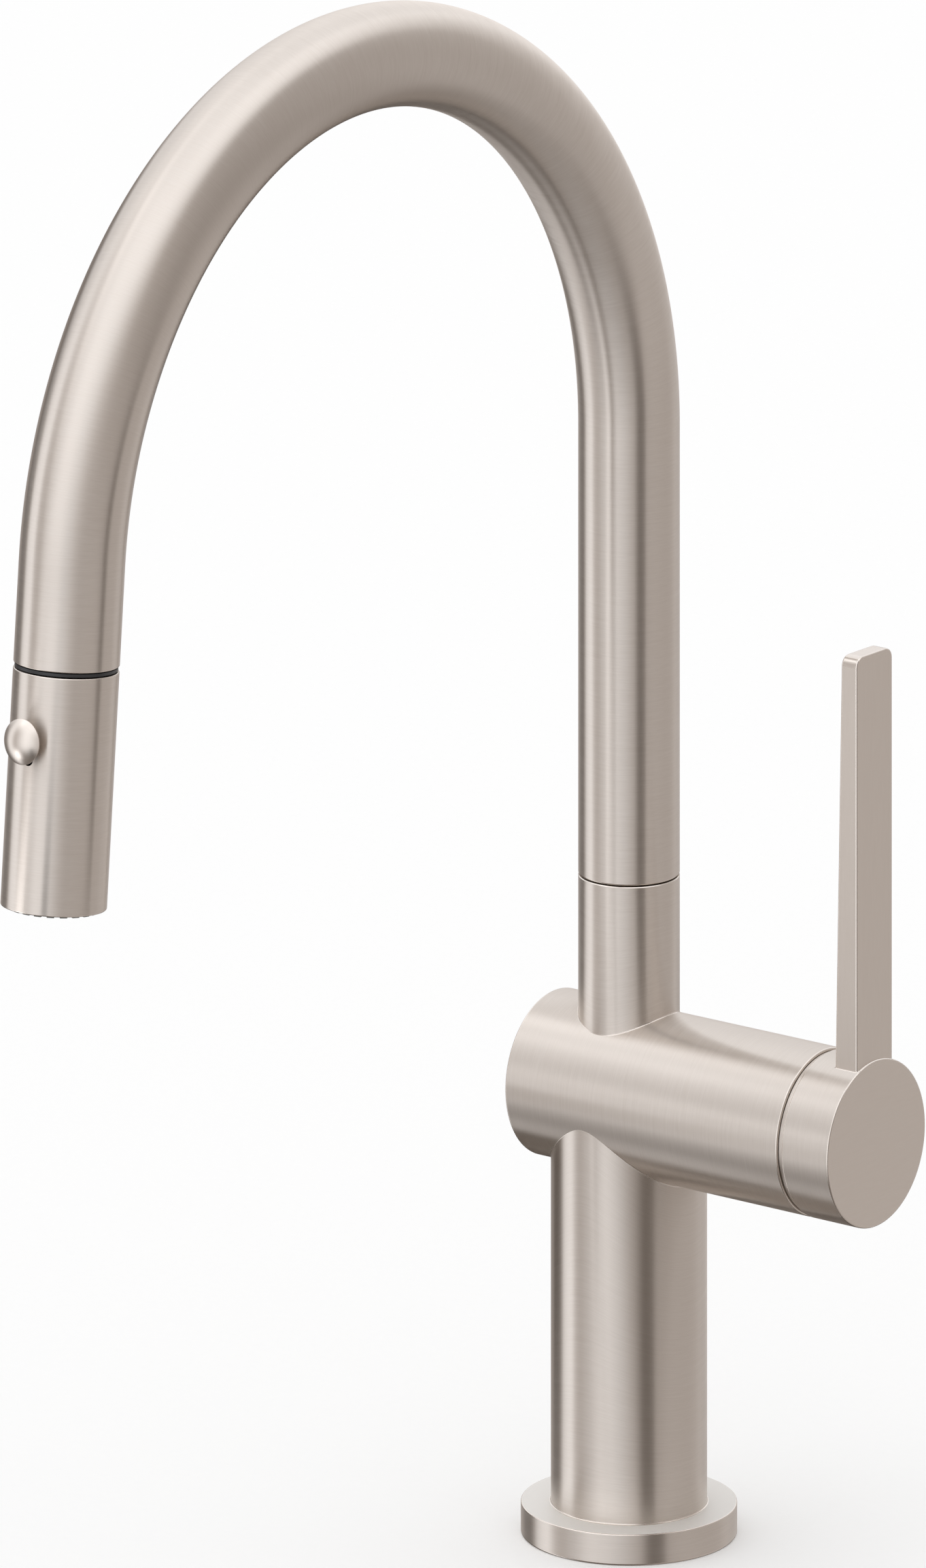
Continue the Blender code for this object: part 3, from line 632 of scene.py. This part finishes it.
def make_lever():
    """A flat bar, upright outside and tapered inside, with rounded top corners and eased edges."""
    corner, edge, hole_end = 2.7, 0.62, 137.3
    shape = bmesh.new()
    bmesh.ops.create_cube(shape, size=1.0)
    for point in shape.verts:
        upper = point.co.z > 0
        inner_x = LEVER_FACE_X - LEVER_TIP_DEPTH if upper else LEVER_BACK_X
        point.co.z = LEVER_TOP if upper else LEVER_LOW
        point.co.y *= LEVER_WIDTH
        point.co.x = inner_x if point.co.x < 0 else LEVER_FACE_X
    corners = [
        line for line in shape.edges
        if all(point.co.z > LEVER_TOP - 1 for point in line.verts)
        and abs(line.verts[0].co.x - line.verts[1].co.x) > 1
    ]
    bmesh.ops.bevel(
        shape, geom=corners, offset=corner, offset_type="OFFSET", segments=ARC_STEPS, profile=0.5,
        affect="EDGES",
    )
    long_lines = [line for line in shape.edges if line.calc_face_angle(0) > math.radians(60)]
    bmesh.ops.bevel(
        shape, geom=long_lines, offset=edge, offset_type="OFFSET", segments=ARC_STEPS, profile=0.5,
        affect="EDGES",
    )
    brushing = shape.loops.layers.uv.new(BRUSHING)
    for face in shape.faces:
        face.normal_update()
        largest = max(abs(part) for part in face.normal)
        face.material_index = LEVEL if largest > math.cos(math.radians(3)) else EASED
        across = X if abs(face.normal.y) > abs(face.normal.x) else Y
        for loop in face.loops:
            loop[brushing].uv = (loop.vert.co[across], loop.vert.co.z)
    bmesh.ops.scale(shape, vec=(MM, MM, MM), verts=shape.verts)
    lever = to_object("lever", shape)
    combined(lever, "UNION", [make_lever_foot(edge)])
    hole = rod("lever_hole", STUD_HOLE, LEVER_LOW - 1, hole_end, x=lever_centre_x())
    combined(lever, "DIFFERENCE", [hole])
    lever.visible_glossy = False  # the photo shows no image of it in the tube beside it
    stand_for(lever, "handle", "brushed_nickel", "handle_lever")


def make_lever_foot(rounding):
    """The fillet round the lever where it meets the hub's round side."""
    outline = []
    sink, lean = 0.02, 0.17
    low_x, high_x, half = LEVER_BACK_X + lean + sink, LEVER_FACE_X - sink, LEVER_WIDTH / 2 - sink
    corners = ((high_x, half), (low_x, half), (low_x, -half), (high_x, -half))
    for quarter, (x, y) in enumerate(corners):
        middle_x = x - math.copysign(rounding, x - lever_centre_x())
        middle = Vector((middle_x, y - math.copysign(rounding, y)))
        for step in range(ARC_STEPS + 1):
            turn = math.radians(90.0 * quarter + 90.0 * step / ARC_STEPS)
            normal = Vector((math.cos(turn), math.sin(turn)))
            outline.append((*(middle + normal * rounding), normal))
    rows = barrel_fillet(outline, True)
    inset = rounding * 0.7
    core = [(x - inset * normal.x, y - inset * normal.y) for x, y, normal in outline]
    top = [(x, y, point.z) for (x, y), point in zip(core, rows[0])]
    low = [(point.x, point.y, point.z - 0.5) for point in rows[-1]]
    inner = [(x, y, LEVER_LOW + 2) for x, y in core]
    return skin("lever_foot", [top, *rows, low, inner], [EASED] * (len(rows) + 3))


# ---------------------------------------------------------------- spout and its dock


def bend_station(angle):
    """The spout's centre line and its direction, angle radians into the bend."""
    centre = Vector((0, BEND_RADIUS * (math.cos(angle) - 1), BEND_Z + BEND_RADIUS * math.sin(angle)))
    return centre, Vector((0, -math.sin(angle), math.cos(angle)))


def past_bend(distance):
    centre, direction = bend_station(BEND_SWEEP)
    return centre + direction * distance, direction


def rim(point, direction, rounding, outward):
    """Centres and radii of a tube end with a rounded outer edge, from the outside to the bore."""
    stations = []
    for step in range(ARC_STEPS + 1):
        angle = math.pi / 2 * step / ARC_STEPS
        back = direction * (rounding * (1 - math.sin(angle))) * outward
        stations.append((point - back, direction, TUBE_RADIUS - rounding * (1 - math.cos(angle))))
    stations.append((point, direction, TUBE_BORE))
    return stations


def make_spout():
    foot_edge, tip_edge, bend_steps, straight_steps = 0.55, 0.3, 140, 10
    up = Vector((0, 0, 1))
    foot = Vector((0, 0, SEAM_Z + GAP / 2))
    bend = [bend_station(BEND_SWEEP * step / bend_steps) for step in range(bend_steps + 1)]
    rise = BEND_Z - foot.z
    straight = [(foot + up * rise * step / straight_steps, up) for step in range(1, straight_steps)]
    tip, tip_way = past_bend(TAIL_LENGTH)
    run = [*straight, *bend]
    outside = [(centre, way, TUBE_RADIUS) for centre, way in run]
    inside = [(centre, way, TUBE_BORE) for centre, way in reversed(run)]
    low_rim = list(reversed(rim(foot, up, foot_edge, -1)))
    arc_kinds = [EASED] * ARC_STEPS
    kinds = [LEVEL, *arc_kinds, ROUND, *[ROUND] * len(run)]
    kinds += [*arc_kinds, LEVEL, ROUND, *[ROUND] * len(run)]
    spout = swept("spout", [*low_rim, *outside, *rim(tip, tip_way, tip_edge, 1), *inside], kinds)
    stand_for(spout, "spout", "brushed_nickel", "spout_tube")


def make_dock():
    rim, rim_low, rim_high = 13.1, DOCK_GAP, DOCK_GAP + DOCK_RING_HEIGHT
    guide_bore, guide_top, skirt = 9.9, 16.1, TUBE_BORE - GAP
    outline = [
        (guide_bore, rim_low, 0.2), (rim, rim_low, 0.15), (rim, rim_high, 0.1), (skirt, rim_high),
        (skirt, guide_top, 0.3), (guide_bore, guide_top, 0.3),
    ]
    stand_for(turned("dock_ring", outline, HEAD), "spout", "black_plastic", "dock_guide")
    outline = washer(7.2, 11.9, 16.5, 20.7, 0.4)
    stand_for(turned("spout_magnet", outline, HEAD), "spout", "magnet", "dock_magnet")


# ---------------------------------------------------------------- hose


def make_hose():
    """The stretch of hose that pays out of the spout, with rings spaced for the full pull."""
    start_angle = BEND_SWEEP - HOSE_PULL_SWEEP + GAP / BEND_RADIUS
    tail_end = TAIL_LENGTH + DOCK_RING_HEIGHT + 2 * DOCK_GAP - FERRULE_TOP - GAP
    start, end = bend_station(start_angle)[0], past_bend(tail_end)[0]
    bend_run = (BEND_SWEEP - start_angle) * BEND_RADIUS
    chord = end - start
    ring_step, path_step, bore, edge = 1.2, 0.05, 3.4, 0.4
    stations, marks = [], []
    pulled, last_pulled, last_share = 0.0, None, 0.0
    for step in range(int((bend_run + tail_end) / path_step) + 1):
        run = step * path_step
        if run < bend_run:
            centre, way = bend_station(start_angle + run / BEND_RADIUS)
        else:
            centre, way = past_bend(run - bend_run)
        share = min(max((centre - start).dot(chord) / chord.length_squared, 0.0), 1.0)
        share = share * share * (3 - 2 * share)
        pulled += path_step + PULL_LENGTH * (share - last_share) if step else 0.0
        last_share = share
        if last_pulled is None or pulled - last_pulled >= ring_step:
            stations.append((centre, way, HOSE_RADIUS))
            marks.append(pulled)
            last_pulled = pulled
    first, last = stations[0], stations[-1]
    stations += [(last[0], last[1], bore), (first[0], first[1], bore)]
    sides = 48
    hose = swept("hose", stations, [ROUND] * len(stations), sides)
    brushing = hose.data.uv_layers[BRUSHING].data
    for face in hose.data.polygons:
        band = face.index // sides
        for corner in face.loop_indices:
            row, side = divmod(hose.data.loops[corner].vertex_index, sides)
            if band < len(marks) - 1:
                brushing[corner].uv.x = marks[min(row, len(marks) - 1)]
    stand_for(hose, None, "hose_jacket", "hose_tail")
    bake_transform(hose)

    inner, outer, crimped, base, crimp_low, crimp_step = 4.4, 6.4, 6.05, 9.9, 12.4, 2.6
    outline = [(inner, base), (outer, base, 0.4)]
    for crimp in range(4):
        low = crimp_low + crimp_step * crimp
        outline += [(outer, low, 0.2), (crimped, low + 0.4, 0.2)]
        outline += [(crimped, low + 1.1, 0.2), (outer, low + 1.5, 0.2)]
    outline += [(outer, FERRULE_TOP, 0.5), (inner, FERRULE_TOP)]
    stand_for(turned("ferrule", outline, HEAD, SMALL_SIDES), "hose_end", "steel", "hose_ferrule")


# ---------------------------------------------------------------- spray head


def make_head_shell():
    edge, lip_bore, lip_depth = 0.3, 9.9, 1.5
    outline = [
        (lip_bore, 0), (TUBE_RADIUS, 0, edge), (TUBE_RADIUS, -HEAD_LENGTH, edge),
        (TUBE_BORE, -HEAD_LENGTH, 0.2), (TUBE_BORE, -lip_depth), (lip_bore, -lip_depth),
    ]
    shell = turned("head", outline, HEAD)
    reach, steps, slot_low, slot_high = KNOB_NECK_RADIUS + GAP, 16, 10.0, 16.0
    slot = []
    for middle, turn in ((0.0, 0.0), (-KNOB_TRAVEL, math.pi)):
        for step in range(steps + 1):
            angle = turn + math.pi * step / steps
            slot.append((reach * math.cos(angle), middle + reach * math.sin(angle)))
    combined(shell, "DIFFERENCE", [prism("knob_slot", slot, slot_low, slot_high, KNOB)])
    stand_for(shell, "spray_head", "brushed_nickel", "head_shell")


def make_head_core():
    nut_bore, seat, inlet, chamber, neck_height = 7.3, -5.6, 4.0, 4.55, 13.5
    outside, shoulder, low_end, mouth = 11.9, -2.0, -50.0, 9.5
    chamber_low, chamber_top = -44.0, -12.0
    outline = [
        (nut_bore, neck_height, 0.3), (NECK_RADIUS, neck_height, 0.6), (NECK_RADIUS, shoulder),
        (outside, shoulder), (outside, low_end), (mouth, low_end), (chamber, chamber_low),
        (chamber, chamber_top), (inlet, chamber_top), (inlet, seat), (nut_bore, seat),
    ]
    core = turned("core", outline, HEAD, SMALL_SIDES)
    pocket = box("pocket", (-4.0, -14.0, -28.8), (4.0, -8.8, -9.0), HEAD)
    window = box("window", (-2.0, -9.5, -23.2), (2.0, -2.0, -14.2), HEAD)
    combined(core, "DIFFERENCE", [pocket, window])
    stand_for(core, "spray_head", "grey_plastic", "head_core")
    low, top = 13.8, 16.2
    outline = [
        (nut_bore, low, 0.3), (NECK_RADIUS, low, 0.3), (NECK_RADIUS, top, 0.4), (nut_bore, top, 0.4),
    ]
    stand_for(turned("neck_magnet", outline, HEAD), "spray_head", "magnet", "head_magnet")


def make_knob():
    """A low domed cap on a thin neck."""
    neck_end, rim_height, underside, rim_radius, apex = 11.6, 16.4, 15.9, 5.65, 18.6
    dome_radius = (rim_radius**2 + (apex - rim_height) ** 2) / (2 * (apex - rim_height))
    chamfer, rim_chamfer, rim_rise, steps = 0.3, 0.15, 0.2, 24
    outline = [
        (0, neck_end), (KNOB_NECK_RADIUS, neck_end), (KNOB_NECK_RADIUS, underside - chamfer),
        (KNOB_NECK_RADIUS + chamfer, underside), (rim_radius - rim_chamfer, underside, 0.12),
        (rim_radius, rim_height - rim_rise),
    ]
    for step in range(steps + 1):
        radius = rim_radius * (1 - step / steps)
        outline.append((radius, apex - dome_radius + math.sqrt(dome_radius**2 - radius**2)))
    knob = turned("knob", outline, KNOB, SMALL_SIDES)
    stand_for(knob, "selector", "brushed_nickel", "selector_knob", looks=(DOMED,) * 3)


def make_nozzle_ring():
    """A rubber ring with square nozzles under it, each tapered and holed."""
    inner, outer, top, face_height, tip, taper = 10.4, 11.9, -53.0, -58.4, -59.45, 0.82
    wall, hole_depth = 0.32, 0.7
    per_nozzle, gap_facets = 9, 3
    facets = NOZZLES * per_nozzle
    shape = bmesh.new()

    corners = ((inner, face_height), (outer, face_height), (outer, top), (inner, top))
    loops = [[shape.verts.new(point) for point in hoop(*corner, facets)] for corner in corners]
    teeth = [[] for _ in range(NOZZLES)]
    for number, loop in enumerate(loops):
        after = loops[(number + 1) % 4]
        for facet in range(facets):
            beyond = (facet + 1) % facets
            made = shape.faces.new((loop[facet], loop[beyond], after[beyond], after[facet]))
            if number == 0 and facet % per_nozzle >= gap_facets:
                teeth[facet // per_nozzle].append(made)
    bmesh.ops.recalc_face_normals(shape, faces=shape.faces)
    for tooth in teeth:
        grow(shape, tooth, tip - face_height, taper)
        bmesh.ops.inset_region(shape, faces=tooth, thickness=wall, use_even_offset=True)
        bmesh.ops.translate(shape, verts=corners_of(tooth), vec=(0, 0, hole_depth))
    bmesh.ops.scale(shape, vec=(MM, MM, MM), verts=shape.verts)
    ring = to_object("nozzles", shape, HEAD)
    stand_for(ring, "spray_head", "rubber", "nozzle_ring", looks=(NOZZLE_RUBBER,) * 3)


def corners_of(faces):
    return list(dict.fromkeys(point for face in faces for point in face.verts))


def grow(shape, faces, rise, taper):
    """Pushes a group of faces out, narrowing it about its middle; the list is kept current."""
    pushed = bmesh.ops.extrude_face_region(shape, geom=faces)
    fresh = [item for item in pushed["geom"] if isinstance(item, bmesh.types.BMFace)]
    bmesh.ops.delete(shape, geom=faces, context="FACES_ONLY")
    faces[:] = fresh
    points = corners_of(fresh)
    middle = sum((point.co for point in points), Vector()) / len(points)
    for point in points:
        point.co = middle + (point.co - middle) * taper + Vector((0, 0, rise))


def make_outlet():
    plate = [(7.8, -58.0, 0.3), (10.1, -58.0, 0.3), (10.1, -52.5), (7.8, -52.5)]
    stand_for(turned("face_plate", plate, HEAD), "spray_head", "grey_plastic", "spray_face")
    housing = [(5.7, -58.3, 0.3), (7.5, -58.3, 0.4), (7.5, -51.0, 0.2), (5.7, -51.0)]
    stand_for(turned("aerator_ring", housing, HEAD), "spray_head", "acetal", "aerator_housing")
    insert = rod("aerator", 5.4, -57.6, -52.0, HEAD)
    jet_radius, jet_sides = 0.36, 12
    jets = []
    for count, reach in ((1, 0.0), (6, 1.75), (12, 3.5), (18, 4.55)):
        for x, y in regular(count, reach):
            jets.append(rod("jet", jet_radius, -60, -50, HEAD, jet_sides, x, y))
    combined(insert, "DIFFERENCE", jets)
    stand_for(insert, "spray_head", "grey_plastic", "aerator_insert")


# ---------------------------------------------------------------- CAD pieces that stay

KEPT_LOOKS = {
    RUBBER: (
        "base_gasket", "cartridge_seal", "swivel_oring_lower", "swivel_oring_upper",
        "hose_washer", "face_seal", "spool_oring",
    ),
    BRASS: (
        "base_insert", "valve_body", "cartridge_nut", "cartridge_stem", "swivel_post",
        "swivel_sleeve", "hose_stem", "hose_nut",
    ),
    STEEL: (
        "cold_supply_tube", "hot_supply_tube", "mixed_outlet_tube", "lever_stud", "swivel_snap_ring",
    ),
    CERAMIC: ("fixed_ceramic_disc", "moving_ceramic_disc"),
    ACETAL: (
        "cartridge_body", "swivel_bush_lower", "swivel_bush_upper", "check_valve", "diverter_spool",
    ),
    BLACK_PLASTIC: ("selector_slider",),
    JACKET: ("spray_hose_column", "spray_hose_spout"),
}


def finish_cad_pieces():
    for look, names in KEPT_LOOKS.items():
        for name in names:
            for slot in frame["nodes"][name].material_slots:
                slot.material = look


# ---------------------------------------------------------------- studio

# The photo's upright lines are parallel: its camera looked down, but its film stood upright
CAMERA_AZIMUTH = math.radians(37.97)
CAMERA_PLACE = Vector((2317.9, -3060.0, 1239.5))
CAMERA_AIM = Vector((6.3, -79.7, 215.6))
CAMERA_LENS = 345.4
SENSOR = 36.0

# Brightness of the studio's walls by degrees to the right of the camera's own side
WALLS = (
    (-180, 0.50), (-152, 0.40), (-143, 0.16), (-126, 0.18), (-118, 0.56), (-92, 0.58), (-84, 0.58),
    (-76, 0.58), (-60, 1.01), (-45, 1.38), (-30, 1.40), (-12, 1.08), (5, 0.76), (18, 0.63),
    (34, 0.63), (60, 0.61), (90, 0.59), (110, 0.58), (125, 0.69), (150, 0.61), (180, 0.50),
)


def tinted(brightness):
    """The lamps are neutral; what is darker in the room is also warmer."""
    level = min(brightness, 1.1)
    return (brightness, brightness * (0.86 + 0.14 * level), brightness * (0.76 + 0.26 * level))


def soft_step(tree, value, low, high):
    inputs = {"Value": value, "From Min": low, "From Max": high}
    step = add(tree, "ShaderNodeMapRange", inputs, interpolation_type="SMOOTHSTEP")
    return step.outputs["Result"]


# Soft boxes and shaded parts over the walls: brightness, then middle, half width and softness in
# degrees of azimuth, then lowest and highest sine of elevation and its softness
PANELS = (
    (0.20, -45, 90, 30, -1.5, -0.48, 0.27),  # shade below, left
    (0.46, 100, 50, 15, -1.5, -0.74, 0.09),  # shade below, right
    (1.46, -75, 95, 30, 0.56, 1.5, 0.24),  # upper left
    (1.50, 0, 180, 10, 0.78, 1.5, 0.12),  # ceiling
    (2.30, -104, 26, 12, 0.66, 0.84, 0.08),  # overhead, left
    (1.20, -176, 46, 12, 0.16, 1.5, 0.12),  # back panel
    (0.10, -176, 40, 9, -1.5, -0.36, 0.16),  # shade below the back panel
    (1.26, -104, 13, 4, -0.82, 0.80, 0.05),  # tall strip lamp
    (1.60, -104, 11, 4, -0.84, -0.66, 0.03),  # its brighter foot
)


def make_world():
    """A room of soft boxes, gaps and dark flags for the metal to reflect; plain white to the eye."""
    world = bpy.data.worlds.new("studio")
    bpy.context.scene.world = world
    world.use_nodes = True
    world.cycles.sampling_method = "NONE"
    tree = world.node_tree
    tree.nodes.clear()
    direction = add(tree, "ShaderNodeTexCoord").outputs["Generated"]
    turn = add(
        tree, "ShaderNodeVectorRotate", {"Vector": direction, "Angle": -CAMERA_AZIMUTH},
        rotation_type="Z_AXIS",
    )
    split = add(tree, "ShaderNodeSeparateXYZ", {"Vector": turn.outputs["Vector"]})
    right, away, up = split.outputs["X"], split.outputs["Y"], split.outputs["Z"]
    azimuth = calc(tree, "ARCTAN2", right, calc(tree, "MULTIPLY", away, -1.0))
    stops = [((degrees + 180) / 360, tinted(light)) for degrees, light in WALLS]
    light = ramp(tree, calc(tree, "MULTIPLY_ADD", azimuth, 1 / math.tau, 0.5), stops)
    for brightness, middle, half, blur, low, high, rise in PANELS:
        offset = calc(tree, "SUBTRACT", azimuth, math.radians(middle))
        aside = calc(tree, "ABSOLUTE", calc(tree, "WRAP", offset, math.pi, -math.pi))
        within = soft_step(tree, aside, math.radians(half + blur), math.radians(half - blur))
        over = soft_step(tree, up, low - rise, low + rise)
        under = soft_step(tree, up, high + rise, high - rise)
        share = calc(tree, "MULTIPLY", within, calc(tree, "MULTIPLY", over, under))
        light = mix(tree, share, light, tinted(brightness))
    path = add(tree, "ShaderNodeLightPath")
    plain = calc(tree, "MAXIMUM", path.outputs["Is Camera Ray"], path.outputs["Is Diffuse Ray"])
    light = mix(tree, plain, light, (1.0, 1.0, 1.0))
    background = add(tree, "ShaderNodeBackground", {"Color": light})
    output = add(tree, "ShaderNodeOutputWorld")
    tree.links.new(background.outputs["Background"], output.inputs["Surface"])


def make_floor():
    """A pale floor that takes a faint shadow; it doesn't show from below or in the metal."""
    reach = 9.0
    shape = bmesh.new()
    bmesh.ops.create_grid(shape, x_segments=1, y_segments=1, size=reach)
    floor = to_object("floor", shape)
    material, tree, shader = new_material("floor_paper", Roughness=0.9)
    shader.inputs["Specular IOR Level"].default_value = 0.0
    point = add(tree, "ShaderNodeTexCoord").outputs["Object"]
    paper = mix(tree, noise(tree, point, 400.0, 3.0), (0.985, 0.985, 0.985), (1.0, 1.0, 1.0))
    tree.links.new(paper, shader.inputs["Base Color"])
    clear = add(tree, "ShaderNodeBsdfTransparent")
    facing = add(tree, "ShaderNodeNewGeometry").outputs["Backfacing"]
    sided = add(tree, "ShaderNodeMixShader", {0: facing, 1: shader.outputs[0], 2: clear.outputs[0]})
    tree.links.new(sided.outputs[0], tree.nodes["Material Output"].inputs["Surface"])
    floor.data.materials.clear()
    floor.data.materials.append(material)
    floor.visible_glossy = False


# Cards on stands near the faucet: place of the middle, turn in degrees, width, lowest and highest
# point, brightness, then the share of the card over which its two sides and its top fade out
CARDS = {
    "dark_card": ((240.7, -127.9), 56.8, 140, (-200, 700), 0.20, (0.45, 0.12, 0.01)),
    "low_grey_card": ((-60.0, -135.0), -37.7, 160, (58, 112), 0.50, (0.20, 0.20, 0.45)),
    "narrow_dark_card": ((34.0, -336.0), 22.5, 32, (150, 240), 0.02, (0.35, 0.35, 0.20)),
    "narrow_white_card": ((-64.0, -323.0), -36.2, 54, (150, 226), 2.90, (0.35, 0.35, 0.40)),
    "narrow_grey_card": ((68.0, -220.0), 109.8, 24, (150, 236), 0.56, (0.30, 0.30, 0.25)),
}


def make_card(name, middle, turn, width, heights, brightness, fades):
    """A card that only the metal sees, as a stripe."""
    low, high = heights
    shape = bmesh.new()
    bmesh.ops.create_grid(shape, x_segments=1, y_segments=1, size=0.5)
    for point in shape.verts:
        point.co = (point.co.x * width * MM, 0, (low + (point.co.y + 0.5) * (high - low)) * MM)
    card = to_object(name, shape)
    card.location = Vector((*middle, 0)) * MM
    card.rotation_euler.z = math.radians(turn)
    material = bpy.data.materials.new(name + "_cloth")
    material.use_nodes = True
    tree = material.node_tree
    tree.nodes.clear()
    point = add(tree, "ShaderNodeTexCoord").outputs["Generated"]
    split = add(tree, "ShaderNodeSeparateXYZ", {"Vector": point}).outputs
    near = soft_step(tree, split["X"], 0.0, fades[0])
    far = soft_step(tree, split["X"], 1.0, 1.0 - fades[1])
    top = soft_step(tree, split["Z"], 1.0, 1.0 - fades[2])
    cloth = noise(tree, point, 40.0)
    tone = mix(tree, cloth, tinted(brightness * 0.9), tinted(brightness * 1.1))
    lit = add(tree, "ShaderNodeEmission", {"Color": tone}).outputs[0]
    clear = add(tree, "ShaderNodeBsdfTransparent").outputs[0]
    cover = calc(tree, "MULTIPLY", calc(tree, "MULTIPLY", near, far), top)
    both = add(tree, "ShaderNodeMixShader", {0: cover, 1: clear, 2: lit})
    output = add(tree, "ShaderNodeOutputMaterial")
    tree.links.new(both.outputs[0], output.inputs["Surface"])
    card.data.materials.clear()
    card.data.materials.append(material)
    card.visible_camera = card.visible_diffuse = False
    card.visible_shadow = card.visible_transmission = False


def make_camera():
    data = bpy.data.cameras.new("camera")
    data.lens = CAMERA_LENS
    data.sensor_width = SENSOR
    data.clip_end = 100.0
    camera = bpy.data.objects.new("camera", data)
    bpy.context.scene.collection.objects.link(camera)
    back = (CAMERA_PLACE - CAMERA_AIM).normalized()
    right = Vector((math.cos(CAMERA_AZIMUTH), math.sin(CAMERA_AZIMUTH), 0))
    place = Matrix((right, (0, 0, 1), back)).transposed().to_4x4()
    place.translation = CAMERA_PLACE * MM
    stand = bpy.data.objects.new("camera_stand", None)
    bpy.context.scene.collection.objects.link(stand)
    camera.parent = stand
    camera.matrix_parent_inverse = place
    bpy.context.scene.camera = camera


make_flange()
make_body()
make_bonnet_ring()
make_hub()
make_lever()
make_spout()
make_dock()
make_hose()
make_head_shell()
make_head_core()
make_knob()
make_nozzle_ring()
make_outlet()
finish_cad_pieces()
make_world()
make_floor()
for name, facts in CARDS.items():
    make_card(name, *facts)
make_camera()
bpy.context.scene.view_settings.view_transform = "Standard"
